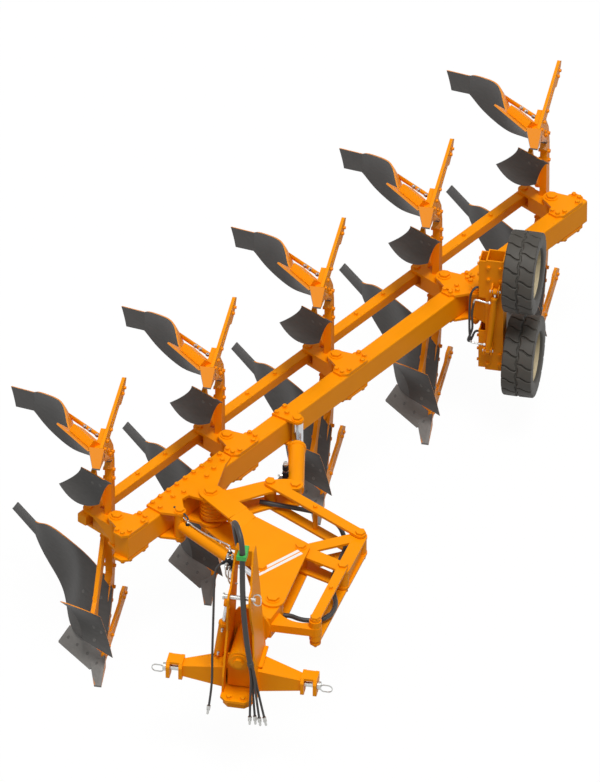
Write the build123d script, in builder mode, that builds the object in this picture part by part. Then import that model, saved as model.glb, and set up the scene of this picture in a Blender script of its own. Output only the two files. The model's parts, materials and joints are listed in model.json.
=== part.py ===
from build123d import *
import math
import os

os.makedirs("parts", exist_ok=True)

# The row frame: +X to the right seen from the front, +Y rearwards, +Z up.
# base is the middle of the lower hitch pins, raised to the turnover axis.
hitch_x = 281.5
hitch_y = -2951.5
axle_height = 1000
base = Plane(origin=(hitch_x, hitch_y, axle_height))

# Main beam, in plan
beam_start = (-1065, 998)
beam_angle = 60.4
beam_length = 5050
beam_wide = 130
beam_tall = 200
beam_wall = 11
beam_dir = Vector(1, 0, 0).rotate(Axis.Z, beam_angle)
beam_frame = Plane(
    origin=base.from_local_coords((beam_start[0], beam_start[1], 0)),
    x_dir=beam_dir,
    z_dir=(0, 0, 1),
)
end_plate = 12

# Plough units along the beam
unit_count = 5
unit_first = 110
end_margin = 156
unit_pitch = (beam_length - unit_first - end_margin) / (unit_count - 1)
pivot_offset = 140
tie_offset = 400
plate_thick = 20
pin_gap = 0.5
fit_gap = 0.4
play = 2
leg_pin_radius = 25
knuckle_radius = 58

# Levers and links of the offset linkage, in plan
front_pivot = (128, 490)
front_arm_pin = (460, 341)
lever_pivot = (210, 1095)
lever_front_pin = (542, 946)
lever_rear_pin = (595, 1325)
main_pivot = (-527, 1535)
rear_lever_pin = (-142, 1765)
rear_lever_end = (34, 1800)
carrier_bolt = (-22, 812)
beam_ear = (-705, 1306)
cylinder_clamp = (-85, 2480)
lever_inner = 62
lever_thick = 18
link_inner = 86
link_thick = 20
carrier_inner = 90
carrier_thick = 16
carrier_rise = 36

# Turnover axle
shaft_radius = 58
shaft_gap = 0.4
housing_radius = 78
housing_front = -112
housing_rear = 262
head_front = 268
shaft_bore = 42

# Wheels
wheel_at = (1251, 4110)
wheel_height = 381
tyre_radius = 300
tyre_width = 225
rim_radius = 190
lug_tall = 16
lug_count = 22
stub_radius = 35
post_pivot = (890, 4170)
post_pin_radius = 22

# Hitch
hitch_span = 965
hitch_pin_radius = 18.3
hitch_drop = 223
clevis_gap = 66
ear_thick = 25
top_pin_radius = 15.8
top_pin_at = (-67, 544)
spare_hole_radius = 16.2
spare_hole_at = (-72, 456)


# Headstock tower: two leaning side plates, base box and clevis arms
tower_half = 130
tower_lean = 62
tower_foot = -330
tower_top = 840
tower_thick = 14
arm_root = 120
arm_wall = 12

arm_reach = hitch_span / 2 - clevis_gap / 2 - ear_thick - arm_root + 1.5
with BuildPart() as headstock_frame:
    for side in (1, -1):
        lean = Vector(-side * tower_lean, 0, tower_top - tower_foot).normalized()
        wall = Plane(
            origin=base.from_local_coords((side * tower_half, 0, tower_foot)),
            x_dir=(0, 1, 0),
            z_dir=Vector(0, 1, 0).cross(lean),
        )
        with BuildSketch(wall):
            with BuildLine():
                Polyline(
                    (-95, 0), (-125, 180), (-70, 560), (-112, 720), (-118, 880),
                    (-100, 925), (-40, 930), (96, 1172), (176, 1172), (205, 930),
                    (235, 420), (235, 0), close=True,
                )
            make_face()
        extrude(amount=-side * tower_thick)
    with BuildSketch(Plane(base.from_local_coords((-200, 0, 0)), x_dir=(0, 1, 0), z_dir=(1, 0, 0))):
        with Locations(top_pin_at):
            Circle(top_pin_radius + pin_gap)
        with Locations(spare_hole_at):
            Circle(spare_hole_radius)
    extrude(amount=400, mode=Mode.SUBTRACT)
    # cross plates that tie the tower together and carry the axle housing
    rear_plane = Plane(base.from_local_coords((0, 251, 0)), x_dir=(1, 0, 0), z_dir=(0, -1, 0))
    with BuildSketch(rear_plane):
        with BuildLine():
            Polyline((-128, -330), (128, -330), (112, 140), (70, 200), (-70, 200), (-112, 140), close=True)
        make_face()
        Circle(housing_radius + pin_gap, mode=Mode.SUBTRACT)
    extrude(amount=16)
    with BuildSketch(rear_plane.offset(251)):
        with BuildLine():
            Polyline((-118, -300), (118, -300), (105, -20), (-105, -20), close=True)
        make_face()
        Circle(housing_radius + pin_gap, mode=Mode.SUBTRACT)
    extrude(amount=18)
    with BuildSketch(base.offset(tower_foot)):
        Rectangle(320, head_front + 14, align=(Align.CENTER, Align.MIN))
        with Locations((-15, -90)):
            Rectangle(230, 190)
        chamfer(vertices().group_by(Axis.Y)[0], 45)
    extrude(amount=20)
    with BuildSketch(base.offset(tower_foot + 200)):
        Rectangle(290, 235, align=(Align.CENTER, Align.MIN))
    extrude(amount=14)
    with BuildSketch(base.offset(tower_foot - 60)):
        with Locations((-15, -80)):
            Rectangle(200, 150)
            chamfer(vertices().group_by(Axis.Y)[0], 40)
    extrude(amount=60)
    with BuildSketch(base.offset(tower_foot - 60)):
        with Locations((-15, -70)):
            Rectangle(164, 104)
    extrude(amount=48, mode=Mode.SUBTRACT)
    apex = Plane(base.from_local_coords((0, 135, 700)), x_dir=(1, 0, 0), z_dir=(0, 0, 1))
    with BuildSketch(apex):
        Rectangle(130, 60)
    extrude(amount=135)
    for side in (1, -1):
        root = Plane(base.from_local_coords((side * arm_root, 62, -226)), x_dir=(0, 1, 0), z_dir=(side, 0, 0))
        with BuildSketch(root):
            Rectangle(190, 180)
        with BuildSketch(root.offset(arm_reach)):
            with Locations((-40, 0)):
                Rectangle(90, 92)
        loft()
        # the arm is a welded box, open to the inside of the tower
        with BuildSketch(root.offset(-20)):
            Rectangle(190 - 2 * arm_wall, 180 - 2 * arm_wall)
        with BuildSketch(root.offset(arm_reach - arm_wall)):
            with Locations((-40, 0)):
                Rectangle(90 - 2 * arm_wall, 92 - 2 * arm_wall)
        loft(mode=Mode.SUBTRACT)
        # clevis: two ears joined by a bridge behind the pin
        for ear in (-1, 1):
            ear_x = side * hitch_span / 2 + ear * clevis_gap / 2
            ear_plane = Plane(
                base.from_local_coords((ear_x, 0, -hitch_drop)), x_dir=(0, 1, 0), z_dir=(ear, 0, 0)
            )
            with BuildSketch(ear_plane):
                with BuildLine():
                    if ear > 0:
                        Polyline((-45, -75), (40, -75), (85, 0), (85, 62), (-20, 62), (-45, 30), close=True)
                    else:
                        Polyline((-45, 75), (40, 75), (85, 0), (85, -62), (-20, -62), (-45, -30), close=True)
                make_face()
                fillet(vertices().group_by(Axis.X)[0], 18)
                Circle(hitch_pin_radius + pin_gap, mode=Mode.SUBTRACT)
            extrude(amount=ear_thick)
        bridge = Plane(base.from_local_coords((side * hitch_span / 2, 0, -hitch_drop + 40)))
        with BuildSketch(bridge):
            with Locations((0, 32)):
                Rectangle(clevis_gap, 100)
        extrude(amount=22)
headstock_frame.part.label = "headstock_frame"
export_step(headstock_frame.part, "parts/headstock_frame.step")

axle_front = Plane(base.from_local_coords((0, housing_front, 0)), x_dir=(1, 0, 0), z_dir=(0, 1, 0))
with BuildPart() as axle_housing:
    with BuildSketch(axle_front):
        Circle(housing_radius)
        Circle(shaft_radius + shaft_gap, mode=Mode.SUBTRACT)
    extrude(amount=housing_rear - housing_front)
    with BuildSketch(axle_front):
        Circle(62)
    extrude(amount=-10)
    with BuildSketch(axle_front.offset(-10)):
        RegularPolygon(36, 6)
    extrude(amount=-22)
axle_housing.part.label = "axle_housing"
export_step(axle_housing.part, "parts/axle_housing.step")

top_pin_plane = Plane(
    base.from_local_coords((-110, top_pin_at[0], top_pin_at[1])), x_dir=(0, 1, 0), z_dir=(1, 0, 0)
)
with BuildPart() as hitch_pins:
    for side in (1, -1):
        inner = Plane(
            base.from_local_coords((side * (hitch_span / 2 - 55), 0, -hitch_drop)),
            x_dir=(0, 1, 0), z_dir=(side, 0, 0),
        )
        with BuildSketch(inner):
            Circle(hitch_pin_radius)
        extrude(amount=139)
        with BuildSketch(inner.offset(115)):
            Circle(30)
        extrude(amount=24)
        # ring handle outboard of each pin
        handle = Plane(
            base.from_local_coords((side * (hitch_span / 2 + 122), -4, -hitch_drop - 20)),
            x_dir=(side, 0, 0), z_dir=(0, 1, 0),
        )
        with BuildSketch(handle):
            SlotOverall(92, 64)
            SlotOverall(80, 52, mode=Mode.SUBTRACT)
        extrude(amount=8)
    with BuildSketch(top_pin_plane):
        Circle(top_pin_radius)
    extrude(amount=222)
    with BuildSketch(top_pin_plane):
        Circle(24)
    extrude(amount=-12)
    ring = Plane(base.from_local_coords((124, top_pin_at[0] - 4, top_pin_at[1])), x_dir=(0, 0, 1), z_dir=(0, 1, 0))
    with BuildSketch(ring):
        SlotOverall(104, 60)
        SlotOverall(92, 48, mode=Mode.SUBTRACT)
    extrude(amount=8)
hitch_pins.part.label = "hitch_pins"
export_step(hitch_pins.part, "parts/hitch_pins.step")

# Turn head: shaft, flange, knuckle for the front pivot and the arm of the front link
head_pin_radius = 30
knuckle_half = carrier_inner - play
link_outer = link_inner + link_thick
head_tall = 18
with BuildPart() as turn_head:
    with BuildSketch(axle_front.offset(40)):
        Circle(shaft_radius)
    extrude(amount=head_front - housing_front - 40)
    with BuildSketch(axle_front.offset(head_front - housing_front)):
        Circle(150)
    extrude(amount=26)
    with BuildSketch(base.offset(-knuckle_half)):
        with Locations(front_pivot):
            Circle(72)
        with BuildLine():
            Polyline((-70, 290), (150, 290), (196, 470), (60, 490), (-70, 400), close=True)
        make_face()
    extrude(amount=2 * knuckle_half)
    # the head is a welded box, open on one side, and its shaft is bored for the oil lines
    with BuildSketch(base.offset(-64)):
        with BuildLine():
            Polyline((-72, 312), (132, 312), (118, 398), (-72, 376), close=True)
        make_face()
    extrude(amount=128, mode=Mode.SUBTRACT)
    with BuildSketch(axle_front.offset(20)):
        Circle(shaft_bore)
    extrude(amount=312 - housing_front, mode=Mode.SUBTRACT)
    with BuildSketch(base.offset(-32)):
        with BuildLine():
            l1 = Polyline((120, 294), (front_arm_pin[0], front_arm_pin[1] - 46))
            l2 = ThreePointArc(
                l1 @ 1, (front_arm_pin[0] + 46, front_arm_pin[1]), (front_arm_pin[0], front_arm_pin[1] + 46)
            )
            l3 = ThreePointArc(l2 @ 1, (300, 362), (180, 440))
            l4 = Line(l3 @ 1, l1 @ 0)
        make_face()
    extrude(amount=64)
    with BuildSketch(base.offset(-knuckle_half + 4)):
        with Locations(front_arm_pin):
            Circle(44)
    extrude(amount=2 * knuckle_half - 8)
    with Locations(base.location):
        with Locations(front_pivot):
            Hole(head_pin_radius + pin_gap)
    # the front link's pin, with a pointed nut below
    with BuildSketch(base.offset(-link_outer)):
        with Locations(front_arm_pin):
            Circle(leg_pin_radius)
    extrude(amount=2 * link_outer)
    with BuildSketch(base.offset(link_outer + fit_gap)):
        with Locations(front_arm_pin):
            RegularPolygon(36, 6)
    extrude(amount=head_tall)
    with BuildSketch(base.offset(-link_outer - fit_gap)):
        with Locations(front_arm_pin):
            Circle(40)
    extrude(amount=-16)
    with BuildSketch(base.offset(-link_outer - 16)):
        with Locations(front_arm_pin):
            Circle(34)
    extrude(amount=-34, taper=34)
    with BuildSketch(base.offset(-link_outer - 2)):
        with Locations(front_arm_pin):
            Circle(leg_pin_radius)
    extrude(amount=2 * link_outer + 4)
turn_head.part.label = "turn_head"
export_step(turn_head.part, "parts/turn_head.step")

# Carrier: a pair of folded plates with webs between them
web_half = carrier_inner
with BuildPart() as carrier:
    for side in (1, -1):
        with BuildSketch(base.offset(side * carrier_inner)):
            with Locations(front_pivot):
                Circle(84)
            with Locations(lever_pivot):
                Circle(62)
            with Locations(carrier_bolt):
                Circle(62)
            with Locations((-262, 1222), (-160, 1360)):
                Circle(2)
            make_hull()
        extrude(amount=side * carrier_thick)
        # folded step up to the main pivot
        along = Vector(main_pivot[0], main_pivot[1]) - Vector(lever_pivot[0], lever_pivot[1])
        fold = Plane(
            base.from_local_coords((-211, 1291, side * carrier_inner)),
            x_dir=(-along.Y, along.X, 0), z_dir=(along.X, along.Y, 0),
        )
        with BuildSketch(fold):
            with Locations((0, carrier_thick / 2 * (1 if fold.y_dir.Z * side > 0 else -1))):
                Rectangle(171, carrier_thick)
        with BuildSketch(fold.offset(95)):
            with Locations((0, (carrier_thick / 2 + carrier_rise) * (1 if fold.y_dir.Z * side > 0 else -1))):
                Rectangle(171, carrier_thick)
        loft()
        with BuildSketch(base.offset(side * (carrier_inner + carrier_rise))):
            with Locations(main_pivot):
                Circle(84)
            with Locations((-344, 1271), (-242, 1409)):
                Circle(2)
            make_hull()
        extrude(amount=side * carrier_thick)
    with BuildSketch(base.offset(-web_half)):
        with BuildLine():
            Polyline((-250, 1290), (60, 1105), (52, 1088), (-262, 1274), close=True)
        make_face()
        with BuildLine():
            Polyline((118, 1040), (168, 1000), (186, 700), (166, 640), (148, 650), (166, 700), (148, 990), (106, 1026), close=True)
        make_face()
    extrude(amount=2 * web_half)
    with Locations(base.location):
        with Locations(front_pivot):
            Hole(head_pin_radius + pin_gap)
        with Locations(lever_pivot, carrier_bolt):
            Hole(leg_pin_radius + pin_gap)
        with Locations(main_pivot):
            Hole(head_pin_radius + pin_gap)
carrier.part.label = "carrier"
export_step(carrier.part, "parts/carrier.step")

# Y shaped lever on the carrier, with an end box
with BuildPart() as swing_lever:
    for side in (1, -1):
        with BuildSketch(base.offset(side * lever_inner)):
            with Locations(lever_pivot):
                Circle(58)
            with Locations((lever_front_pin[0] - 40, lever_front_pin[1] + 30)):
                Circle(50)
            make_hull()
        extrude(amount=side * lever_thick)
        with BuildSketch(base.offset(side * lever_inner)):
            with Locations(lever_pivot, lever_rear_pin):
                Circle(46)
            make_hull()
        extrude(amount=side * lever_thick)
        with BuildSketch(base.offset(side * lever_inner)):
            with Locations(lever_front_pin, (lever_rear_pin[0], lever_rear_pin[1])):
                Circle(48)
            make_hull()
        extrude(amount=side * lever_thick)
    with BuildSketch(base.offset(-lever_inner)):
        with Locations((488, 1262)):
            Circle(12)
    extrude(amount=lever_inner - 47)
    with BuildSketch(base.offset(-lever_inner)):
        with Locations(lever_pivot, lever_front_pin, lever_rear_pin):
            Circle(44)
        with BuildLine():
            Polyline((580, 990), (612, 1280), (586, 1280), (556, 990), close=True)
        make_face()
    extrude(amount=2 * lever_inner)
    with Locations(base.location):
        with Locations(lever_pivot):
            Hole(leg_pin_radius + pin_gap)
    for spot in (lever_front_pin, lever_rear_pin):
        with BuildSketch(base.offset(-link_outer - 2)):
            with Locations(spot):
                Circle(leg_pin_radius)
        extrude(amount=2 * link_outer + 4)
        for side in (1, -1):
            with BuildSketch(base.offset(side * (link_outer + fit_gap))):
                with Locations(spot):
                    RegularPolygon(36, 6)
            extrude(amount=side * head_tall)
swing_lever.part.label = "swing_lever"
export_step(swing_lever.part, "parts/swing_lever.step")

# Twin links of both parallelograms
with BuildPart() as front_link:
    for side in (1, -1):
        with BuildSketch(base.offset(side * link_inner)):
            with Locations(front_arm_pin, lever_front_pin):
                Circle(36)
            make_hull()
            with Locations(front_arm_pin, lever_front_pin):
                Circle(leg_pin_radius + pin_gap, mode=Mode.SUBTRACT)
        extrude(amount=side * link_thick)
    # saddle under the held hose
    with BuildSketch(base.offset(-link_inner)):
        with Locations((504, 796)):
            Circle(12)
    extrude(amount=link_inner - 53.4)
front_link.part.label = "front_link"
export_step(front_link.part, "parts/front_link.step")

link_middle = (Vector(*lever_rear_pin) + Vector(*rear_lever_pin)) * 0.5
with BuildPart() as rear_link:
    for side in (1, -1):
        with BuildSketch(base.offset(side * link_inner)):
            with Locations(lever_rear_pin, rear_lever_pin):
                Circle(40)
            make_hull()
            with Locations(lever_rear_pin, rear_lever_pin):
                Circle(leg_pin_radius + pin_gap, mode=Mode.SUBTRACT)
        extrude(amount=side * link_thick)
    with BuildSketch(base.offset(-link_inner)):
        with Locations((link_middle.X, link_middle.Y)):
            Circle(18)
    extrude(amount=2 * link_inner)
    # saddle under the held hose
    with BuildSketch(base.offset(-link_inner)):
        with Locations((468, 1401)):
            Circle(12)
    extrude(amount=link_inner - 53.4)
rear_link.part.label = "rear_link"
export_step(rear_link.part, "parts/rear_link.step")

with BuildPart() as rear_lever:
    for side in (1, -1):
        with BuildSketch(base.offset(side * lever_inner)):
            with BuildLine():
                Spline(
                    (main_pivot[0] - 20, main_pivot[1] + 72), (-330, 1712), (-140, 1822), (60, 1850),
                )
                ThreePointArc((60, 1850), (88, 1806), (52, 1754))
                Spline((52, 1754), (-100, 1700), (-300, 1560), (main_pivot[0] + 30, main_pivot[1] - 66))
                ThreePointArc(
                    (main_pivot[0] + 30, main_pivot[1] - 66), (main_pivot[0] - 70, main_pivot[1]),
                    (main_pivot[0] - 20, main_pivot[1] + 72),
                )
            make_face()
        extrude(amount=side * lever_thick)
    with BuildSketch(base.offset(-lever_inner - lever_thick)):
        with Locations(main_pivot):
            Circle(72)
    extrude(amount=2 * (lever_inner + lever_thick))
    with BuildSketch(base.offset(-lever_inner)):
        with Locations(rear_lever_pin):
            Circle(44)
    extrude(amount=2 * lever_inner)
    with Locations(base.location):
        with Locations(main_pivot):
            Hole(head_pin_radius + pin_gap)
    for spot, half in ((rear_lever_pin, link_outer), (rear_lever_end, lever_inner + lever_thick)):
        with BuildSketch(base.offset(-half - 2)):
            with Locations(spot):
                Circle(leg_pin_radius)
        extrude(amount=2 * half + 4)
        for side in (1, -1):
            with BuildSketch(base.offset(side * (half + fit_gap))):
                with Locations(spot):
                    RegularPolygon(36, 6)
            extrude(amount=side * head_tall)
rear_lever.part.label = "rear_lever"
export_step(rear_lever.part, "parts/rear_lever.step")

# Pins of the linkage with six sided heads; each run is radius, half length, head
with BuildPart() as carrier_pins:
    for spot, pin_radius, half in (
        (front_pivot, head_pin_radius, carrier_inner + carrier_thick),
        (main_pivot, head_pin_radius, carrier_inner + carrier_rise + carrier_thick),
        (lever_pivot, leg_pin_radius, carrier_inner + carrier_thick),
        (carrier_bolt, leg_pin_radius, carrier_inner + carrier_thick),
    ):
        with BuildSketch(base.offset(-half)):
            with Locations(spot):
                Circle(pin_radius)
        extrude(amount=2 * half)
        for side in (1, -1):
            with BuildSketch(base.offset(side * half)):
                with Locations(spot):
                    Circle(pin_radius * 1.75)
            extrude(amount=side * 6)
            with BuildSketch(base.offset(side * (half + 6))):
                with Locations(spot):
                    RegularPolygon(pin_radius * 1.5, 6)
            extrude(amount=side * head_tall)
carrier_pins.part.label = "carrier_pins"
export_step(carrier_pins.part, "parts/carrier_pins.step")

# Main beam: square ended hollow section with end plates, the rear one vented
half_tall = beam_tall / 2
with BuildPart() as main_beam:
    with BuildSketch(Plane(beam_frame.origin, x_dir=beam_frame.y_dir, z_dir=beam_frame.x_dir)) as section:
        Rectangle(beam_wide, beam_tall)
        fillet(vertices(), 14)
        offset(amount=-beam_wall, mode=Mode.SUBTRACT)
    extrude(amount=beam_length)
    tail = Plane(
        beam_frame.from_local_coords((beam_length - end_plate, 0, 0)),
        x_dir=beam_frame.y_dir, z_dir=beam_frame.x_dir,
    )
    with BuildSketch(tail):
        Rectangle(beam_wide - beam_wall, beam_tall - beam_wall)
        Circle(12, mode=Mode.SUBTRACT)
    extrude(amount=end_plate)
    with BuildSketch(Plane(beam_frame.origin, x_dir=beam_frame.y_dir, z_dir=beam_frame.x_dir)):
        Rectangle(beam_wide - beam_wall, beam_tall - beam_wall)
    extrude(amount=end_plate)
main_beam.part.label = "main_beam"
export_step(main_beam.part, "parts/main_beam.step")

# Plates above and below the beam at each unit, and the wheel post's plates
ear_radius = 64
post_spot = beam_frame.to_local_coords(Vector(*base.from_local_coords((post_pivot[0], post_pivot[1], 0))))
with BuildPart() as beam_brackets:
    for side in (1, -1):
        for unit in range(unit_count):
            middle = unit_first + unit * unit_pitch
            with BuildSketch(beam_frame.offset(side * half_tall)):
                with BuildLine():
                    Polyline(
                        (middle - 150, -30), (middle - 105, -65), (middle + 105, -65), (middle + 150, -30),
                        (middle + 150, 40), (middle + 110, 66), (middle - 110, 66), (middle - 150, 40),
                        close=True,
                    )
                make_face()
                with BuildLine():
                    Polyline(
                        (middle - 100, 40), (middle + 100, 40), (middle + 60, pivot_offset + 10),
                        (middle - 60, pivot_offset + 10), close=True,
                    )
                make_face()
                with Locations((middle, pivot_offset)):
                    Circle(ear_radius)
                    Circle(leg_pin_radius + pin_gap, mode=Mode.SUBTRACT)
            extrude(amount=side * plate_thick)
        with BuildSketch(beam_frame.offset(side * half_tall)):
            with BuildLine():
                Polyline(
                    (post_spot.X - 170, 20), (post_spot.X + 120, 20), (post_spot.X + 100, -65),
                    (post_spot.X + 50, post_spot.Y), (post_spot.X - 50, post_spot.Y),
                    (post_spot.X - 150, -65), close=True,
                )
            make_face()
            with Locations((post_spot.X, post_spot.Y)):
                Circle(ear_radius)
                Circle(post_pin_radius + pin_gap, mode=Mode.SUBTRACT)
        extrude(amount=side * plate_thick)
beam_brackets.part.label = "beam_brackets"
export_step(beam_brackets.part, "parts/beam_brackets.step")

# Gussets that carry the main pivot and the ear of the offset cylinder
pivot_spot = beam_frame.to_local_coords(Vector(*base.from_local_coords((main_pivot[0], main_pivot[1], 0))))
ear_spot = beam_frame.to_local_coords(Vector(*base.from_local_coords((beam_ear[0], beam_ear[1], 0))))
clamp_spot = beam_frame.to_local_coords(Vector(*base.from_local_coords((cylinder_clamp[0], cylinder_clamp[1], 0))))
ear_pin_radius = 22
with BuildPart() as beam_gussets:
    for side in (1, -1):
        with BuildSketch(beam_frame.offset(side * half_tall)):
            with BuildLine():
                Polyline(
                    (345, 66), (1140, 66), (1140, -40), (1050, -66), (pivot_spot.X + 90, pivot_spot.Y + 20),
                    (pivot_spot.X - 85, pivot_spot.Y + 20), (620, -92), (560, -84), (ear_spot.X + 44, ear_spot.Y),
                    (ear_spot.X - 44, ear_spot.Y), (345, -66), close=True,
                )
            make_face()
            with Locations((pivot_spot.X, pivot_spot.Y)):
                Circle(88)
                Circle(head_pin_radius + pin_gap, mode=Mode.SUBTRACT)
            with Locations((ear_spot.X, ear_spot.Y)):
                Circle(44)
                Circle(ear_pin_radius + pin_gap, mode=Mode.SUBTRACT)
        extrude(amount=side * plate_thick)
        # clamp that holds the width cylinder
        with BuildSketch(beam_frame.offset(side * half_tall)):
            with BuildLine():
                Polyline(
                    (clamp_spot.X - 70, 60), (clamp_spot.X + 70, 60), (clamp_spot.X + 46, clamp_spot.Y),
                    (clamp_spot.X - 46, clamp_spot.Y), close=True,
                )
            make_face()
            with Locations((clamp_spot.X, clamp_spot.Y)):
                Circle(46)
                Circle(ear_pin_radius + pin_gap, mode=Mode.SUBTRACT)
        extrude(amount=side * plate_thick)
beam_gussets.part.label = "beam_gussets"
export_step(beam_gussets.part, "parts/beam_gussets.step")

plate_top = half_tall + plate_thick
with BuildPart() as beam_pins:
    spots = [(unit_first + unit * unit_pitch, pivot_offset, leg_pin_radius, -plate_top) for unit in range(unit_count)]
    spots.append((post_spot.X, post_spot.Y, post_pin_radius, -plate_top))
    spots.append((ear_spot.X, ear_spot.Y, ear_pin_radius, -plate_top))
    # the cylinder's pin stays with its rod, so only its ends are here
    spots.append((clamp_spot.X, clamp_spot.Y, ear_pin_radius, half_tall))
    for spot_x, spot_y, pin_radius, pin_from in spots:
        for side in (1, -1):
            with BuildSketch(beam_frame.offset(side * pin_from)):
                with Locations((spot_x, spot_y)):
                    Circle(pin_radius)
            extrude(amount=side * (plate_top - pin_from))
            with BuildSketch(beam_frame.offset(side * plate_top)):
                with Locations((spot_x, spot_y)):
                    Circle(pin_radius * 1.9)
            extrude(amount=side * 8)
            with BuildSketch(beam_frame.offset(side * (plate_top + 8))):
                with Locations((spot_x, spot_y)):
                    RegularPolygon(pin_radius * 1.55, 6)
            extrude(amount=side * head_tall)
beam_pins.part.label = "beam_pins"
export_step(beam_pins.part, "parts/beam_pins.step")

# One plough unit: boards, shares, landsides, skimmers and the leg, lower and upper alike.
# Sections run from the shin to the neck: lower, middle and upper point, with heights above the furrow bottom.
board_sections = (
    ((-1150, 815, 106), (-1163, 1010, 257), (-1178, 1201, 414)),
    ((-1305, 958, 106), (-1298, 1154, 292), (-1310, 1323, 503)),
    ((-1452, 1094, 106), (-1424, 1278, 312), (-1442, 1419, 551)),
    ((-1555, 1377, 128), (-1529, 1472, 341), (-1574, 1515, 568)),
    ((-1664, 1558, 194), (-1666, 1614, 373), (-1710, 1632, 555)),
    ((-1767, 1671, 262), (-1765, 1690, 394), (-1782, 1690, 526)),
    ((-1852, 1774, 348), (-1846, 1762, 420), (-1848, 1744, 491)),
)
# the tail is a straight strip from the neck to the tip
tail_sections = (
    board_sections[-1],
    ((-2049, 1920, 439), (-2022, 1886, 500), (-1999, 1848, 559)),
)
board_thick = 11
skim_sections = (
    ((-1072, 695, 205), (-1129, 788, 310), (-1183, 798, 485)),
    ((-1200, 775, 207), (-1230, 842, 316), (-1333, 818, 519)),
    ((-1325, 851, 210), (-1375, 918, 338), (-1502, 938, 458)),
)
skim_thick = 9
cut_depth = 240
back_gap = 0.6

with BuildPart() as moldboard_1:
    for flip in (1, -1):
        for stretch in (board_sections, tail_sections):
            for low, mid, high in stretch:
                low_at = base.from_local_coords(Vector(low[0], low[1], (low[2] - axle_height) * flip))
                mid_at = base.from_local_coords(Vector(mid[0], mid[1], (mid[2] - axle_height) * flip))
                high_at = base.from_local_coords(Vector(high[0], high[1], (high[2] - axle_height) * flip))
                chord = high_at - low_at
                curve = Plane(low_at, x_dir=chord, z_dir=chord.cross(mid_at - low_at))
                bulge = curve.to_local_coords(mid_at)
                with BuildSketch(curve):
                    with BuildLine():
                        ThreePointArc((0, 0), (bulge.X, bulge.Y), (chord.length, 0))
                        Line((chord.length, 0), (chord.length, board_thick))
                        ThreePointArc((chord.length, board_thick), (bulge.X, bulge.Y + board_thick), (0, board_thick))
                        Line((0, board_thick), (0, 0))
                    make_face()
            loft()
moldboard_1.part.label = "moldboard_1"

with BuildPart() as board_space:
    for flip in (1, -1):
        for low, mid, high in board_sections:
            low_at = base.from_local_coords(Vector(low[0], low[1], (low[2] - axle_height) * flip))
            mid_at = base.from_local_coords(Vector(mid[0], mid[1], (mid[2] - axle_height) * flip))
            high_at = base.from_local_coords(Vector(high[0], high[1], (high[2] - axle_height) * flip))
            chord = high_at - low_at
            curve = Plane(low_at, x_dir=chord, z_dir=chord.cross(mid_at - low_at))
            bulge = curve.to_local_coords(mid_at)
            back = board_thick + back_gap
            with BuildSketch(curve):
                with BuildLine():
                    ThreePointArc((0, back), (bulge.X, bulge.Y + back), (chord.length, back))
                    Line((chord.length, back), (chord.length, -cut_depth))
                    Line((chord.length, -cut_depth), (0, -cut_depth))
                    Line((0, -cut_depth), (0, back))
                make_face()
        loft()

with BuildPart() as skimmer_1:
    for flip in (1, -1):
        for low, mid, high in skim_sections:
            low_at = base.from_local_coords(Vector(low[0], low[1], (low[2] - axle_height) * flip))
            mid_at = base.from_local_coords(Vector(mid[0], mid[1], (mid[2] - axle_height) * flip))
            high_at = base.from_local_coords(Vector(high[0], high[1], (high[2] - axle_height) * flip))
            chord = high_at - low_at
            curve = Plane(low_at, x_dir=chord, z_dir=chord.cross(mid_at - low_at))
            bulge = curve.to_local_coords(mid_at)
            with BuildSketch(curve):
                with BuildLine():
                    ThreePointArc((0, 0), (bulge.X, bulge.Y), (chord.length, 0))
                    Line((chord.length, 0), (chord.length, skim_thick))
                    ThreePointArc((chord.length, skim_thick), (bulge.X, bulge.Y + skim_thick), (0, skim_thick))
                    Line((0, skim_thick), (0, 0))
                make_face()
        loft()
skimmer_1.part.label = "skimmer_1"

with BuildPart() as skim_space:
    for flip in (1, -1):
        for low, mid, high in skim_sections:
            low_at = base.from_local_coords(Vector(low[0], low[1], (low[2] - axle_height) * flip))
            mid_at = base.from_local_coords(Vector(mid[0], mid[1], (mid[2] - axle_height) * flip))
            high_at = base.from_local_coords(Vector(high[0], high[1], (high[2] - axle_height) * flip))
            chord = high_at - low_at
            curve = Plane(low_at, x_dir=chord, z_dir=chord.cross(mid_at - low_at))
            bulge = curve.to_local_coords(mid_at)
            back = skim_thick + back_gap
            with BuildSketch(curve):
                with BuildLine():
                    ThreePointArc((0, back), (bulge.X, bulge.Y + back), (chord.length, back))
                    Line((chord.length, back), (chord.length, -cut_depth))
                    Line((chord.length, -cut_depth), (0, -cut_depth))
                    Line((0, -cut_depth), (0, back))
                make_face()
        loft()

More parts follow.
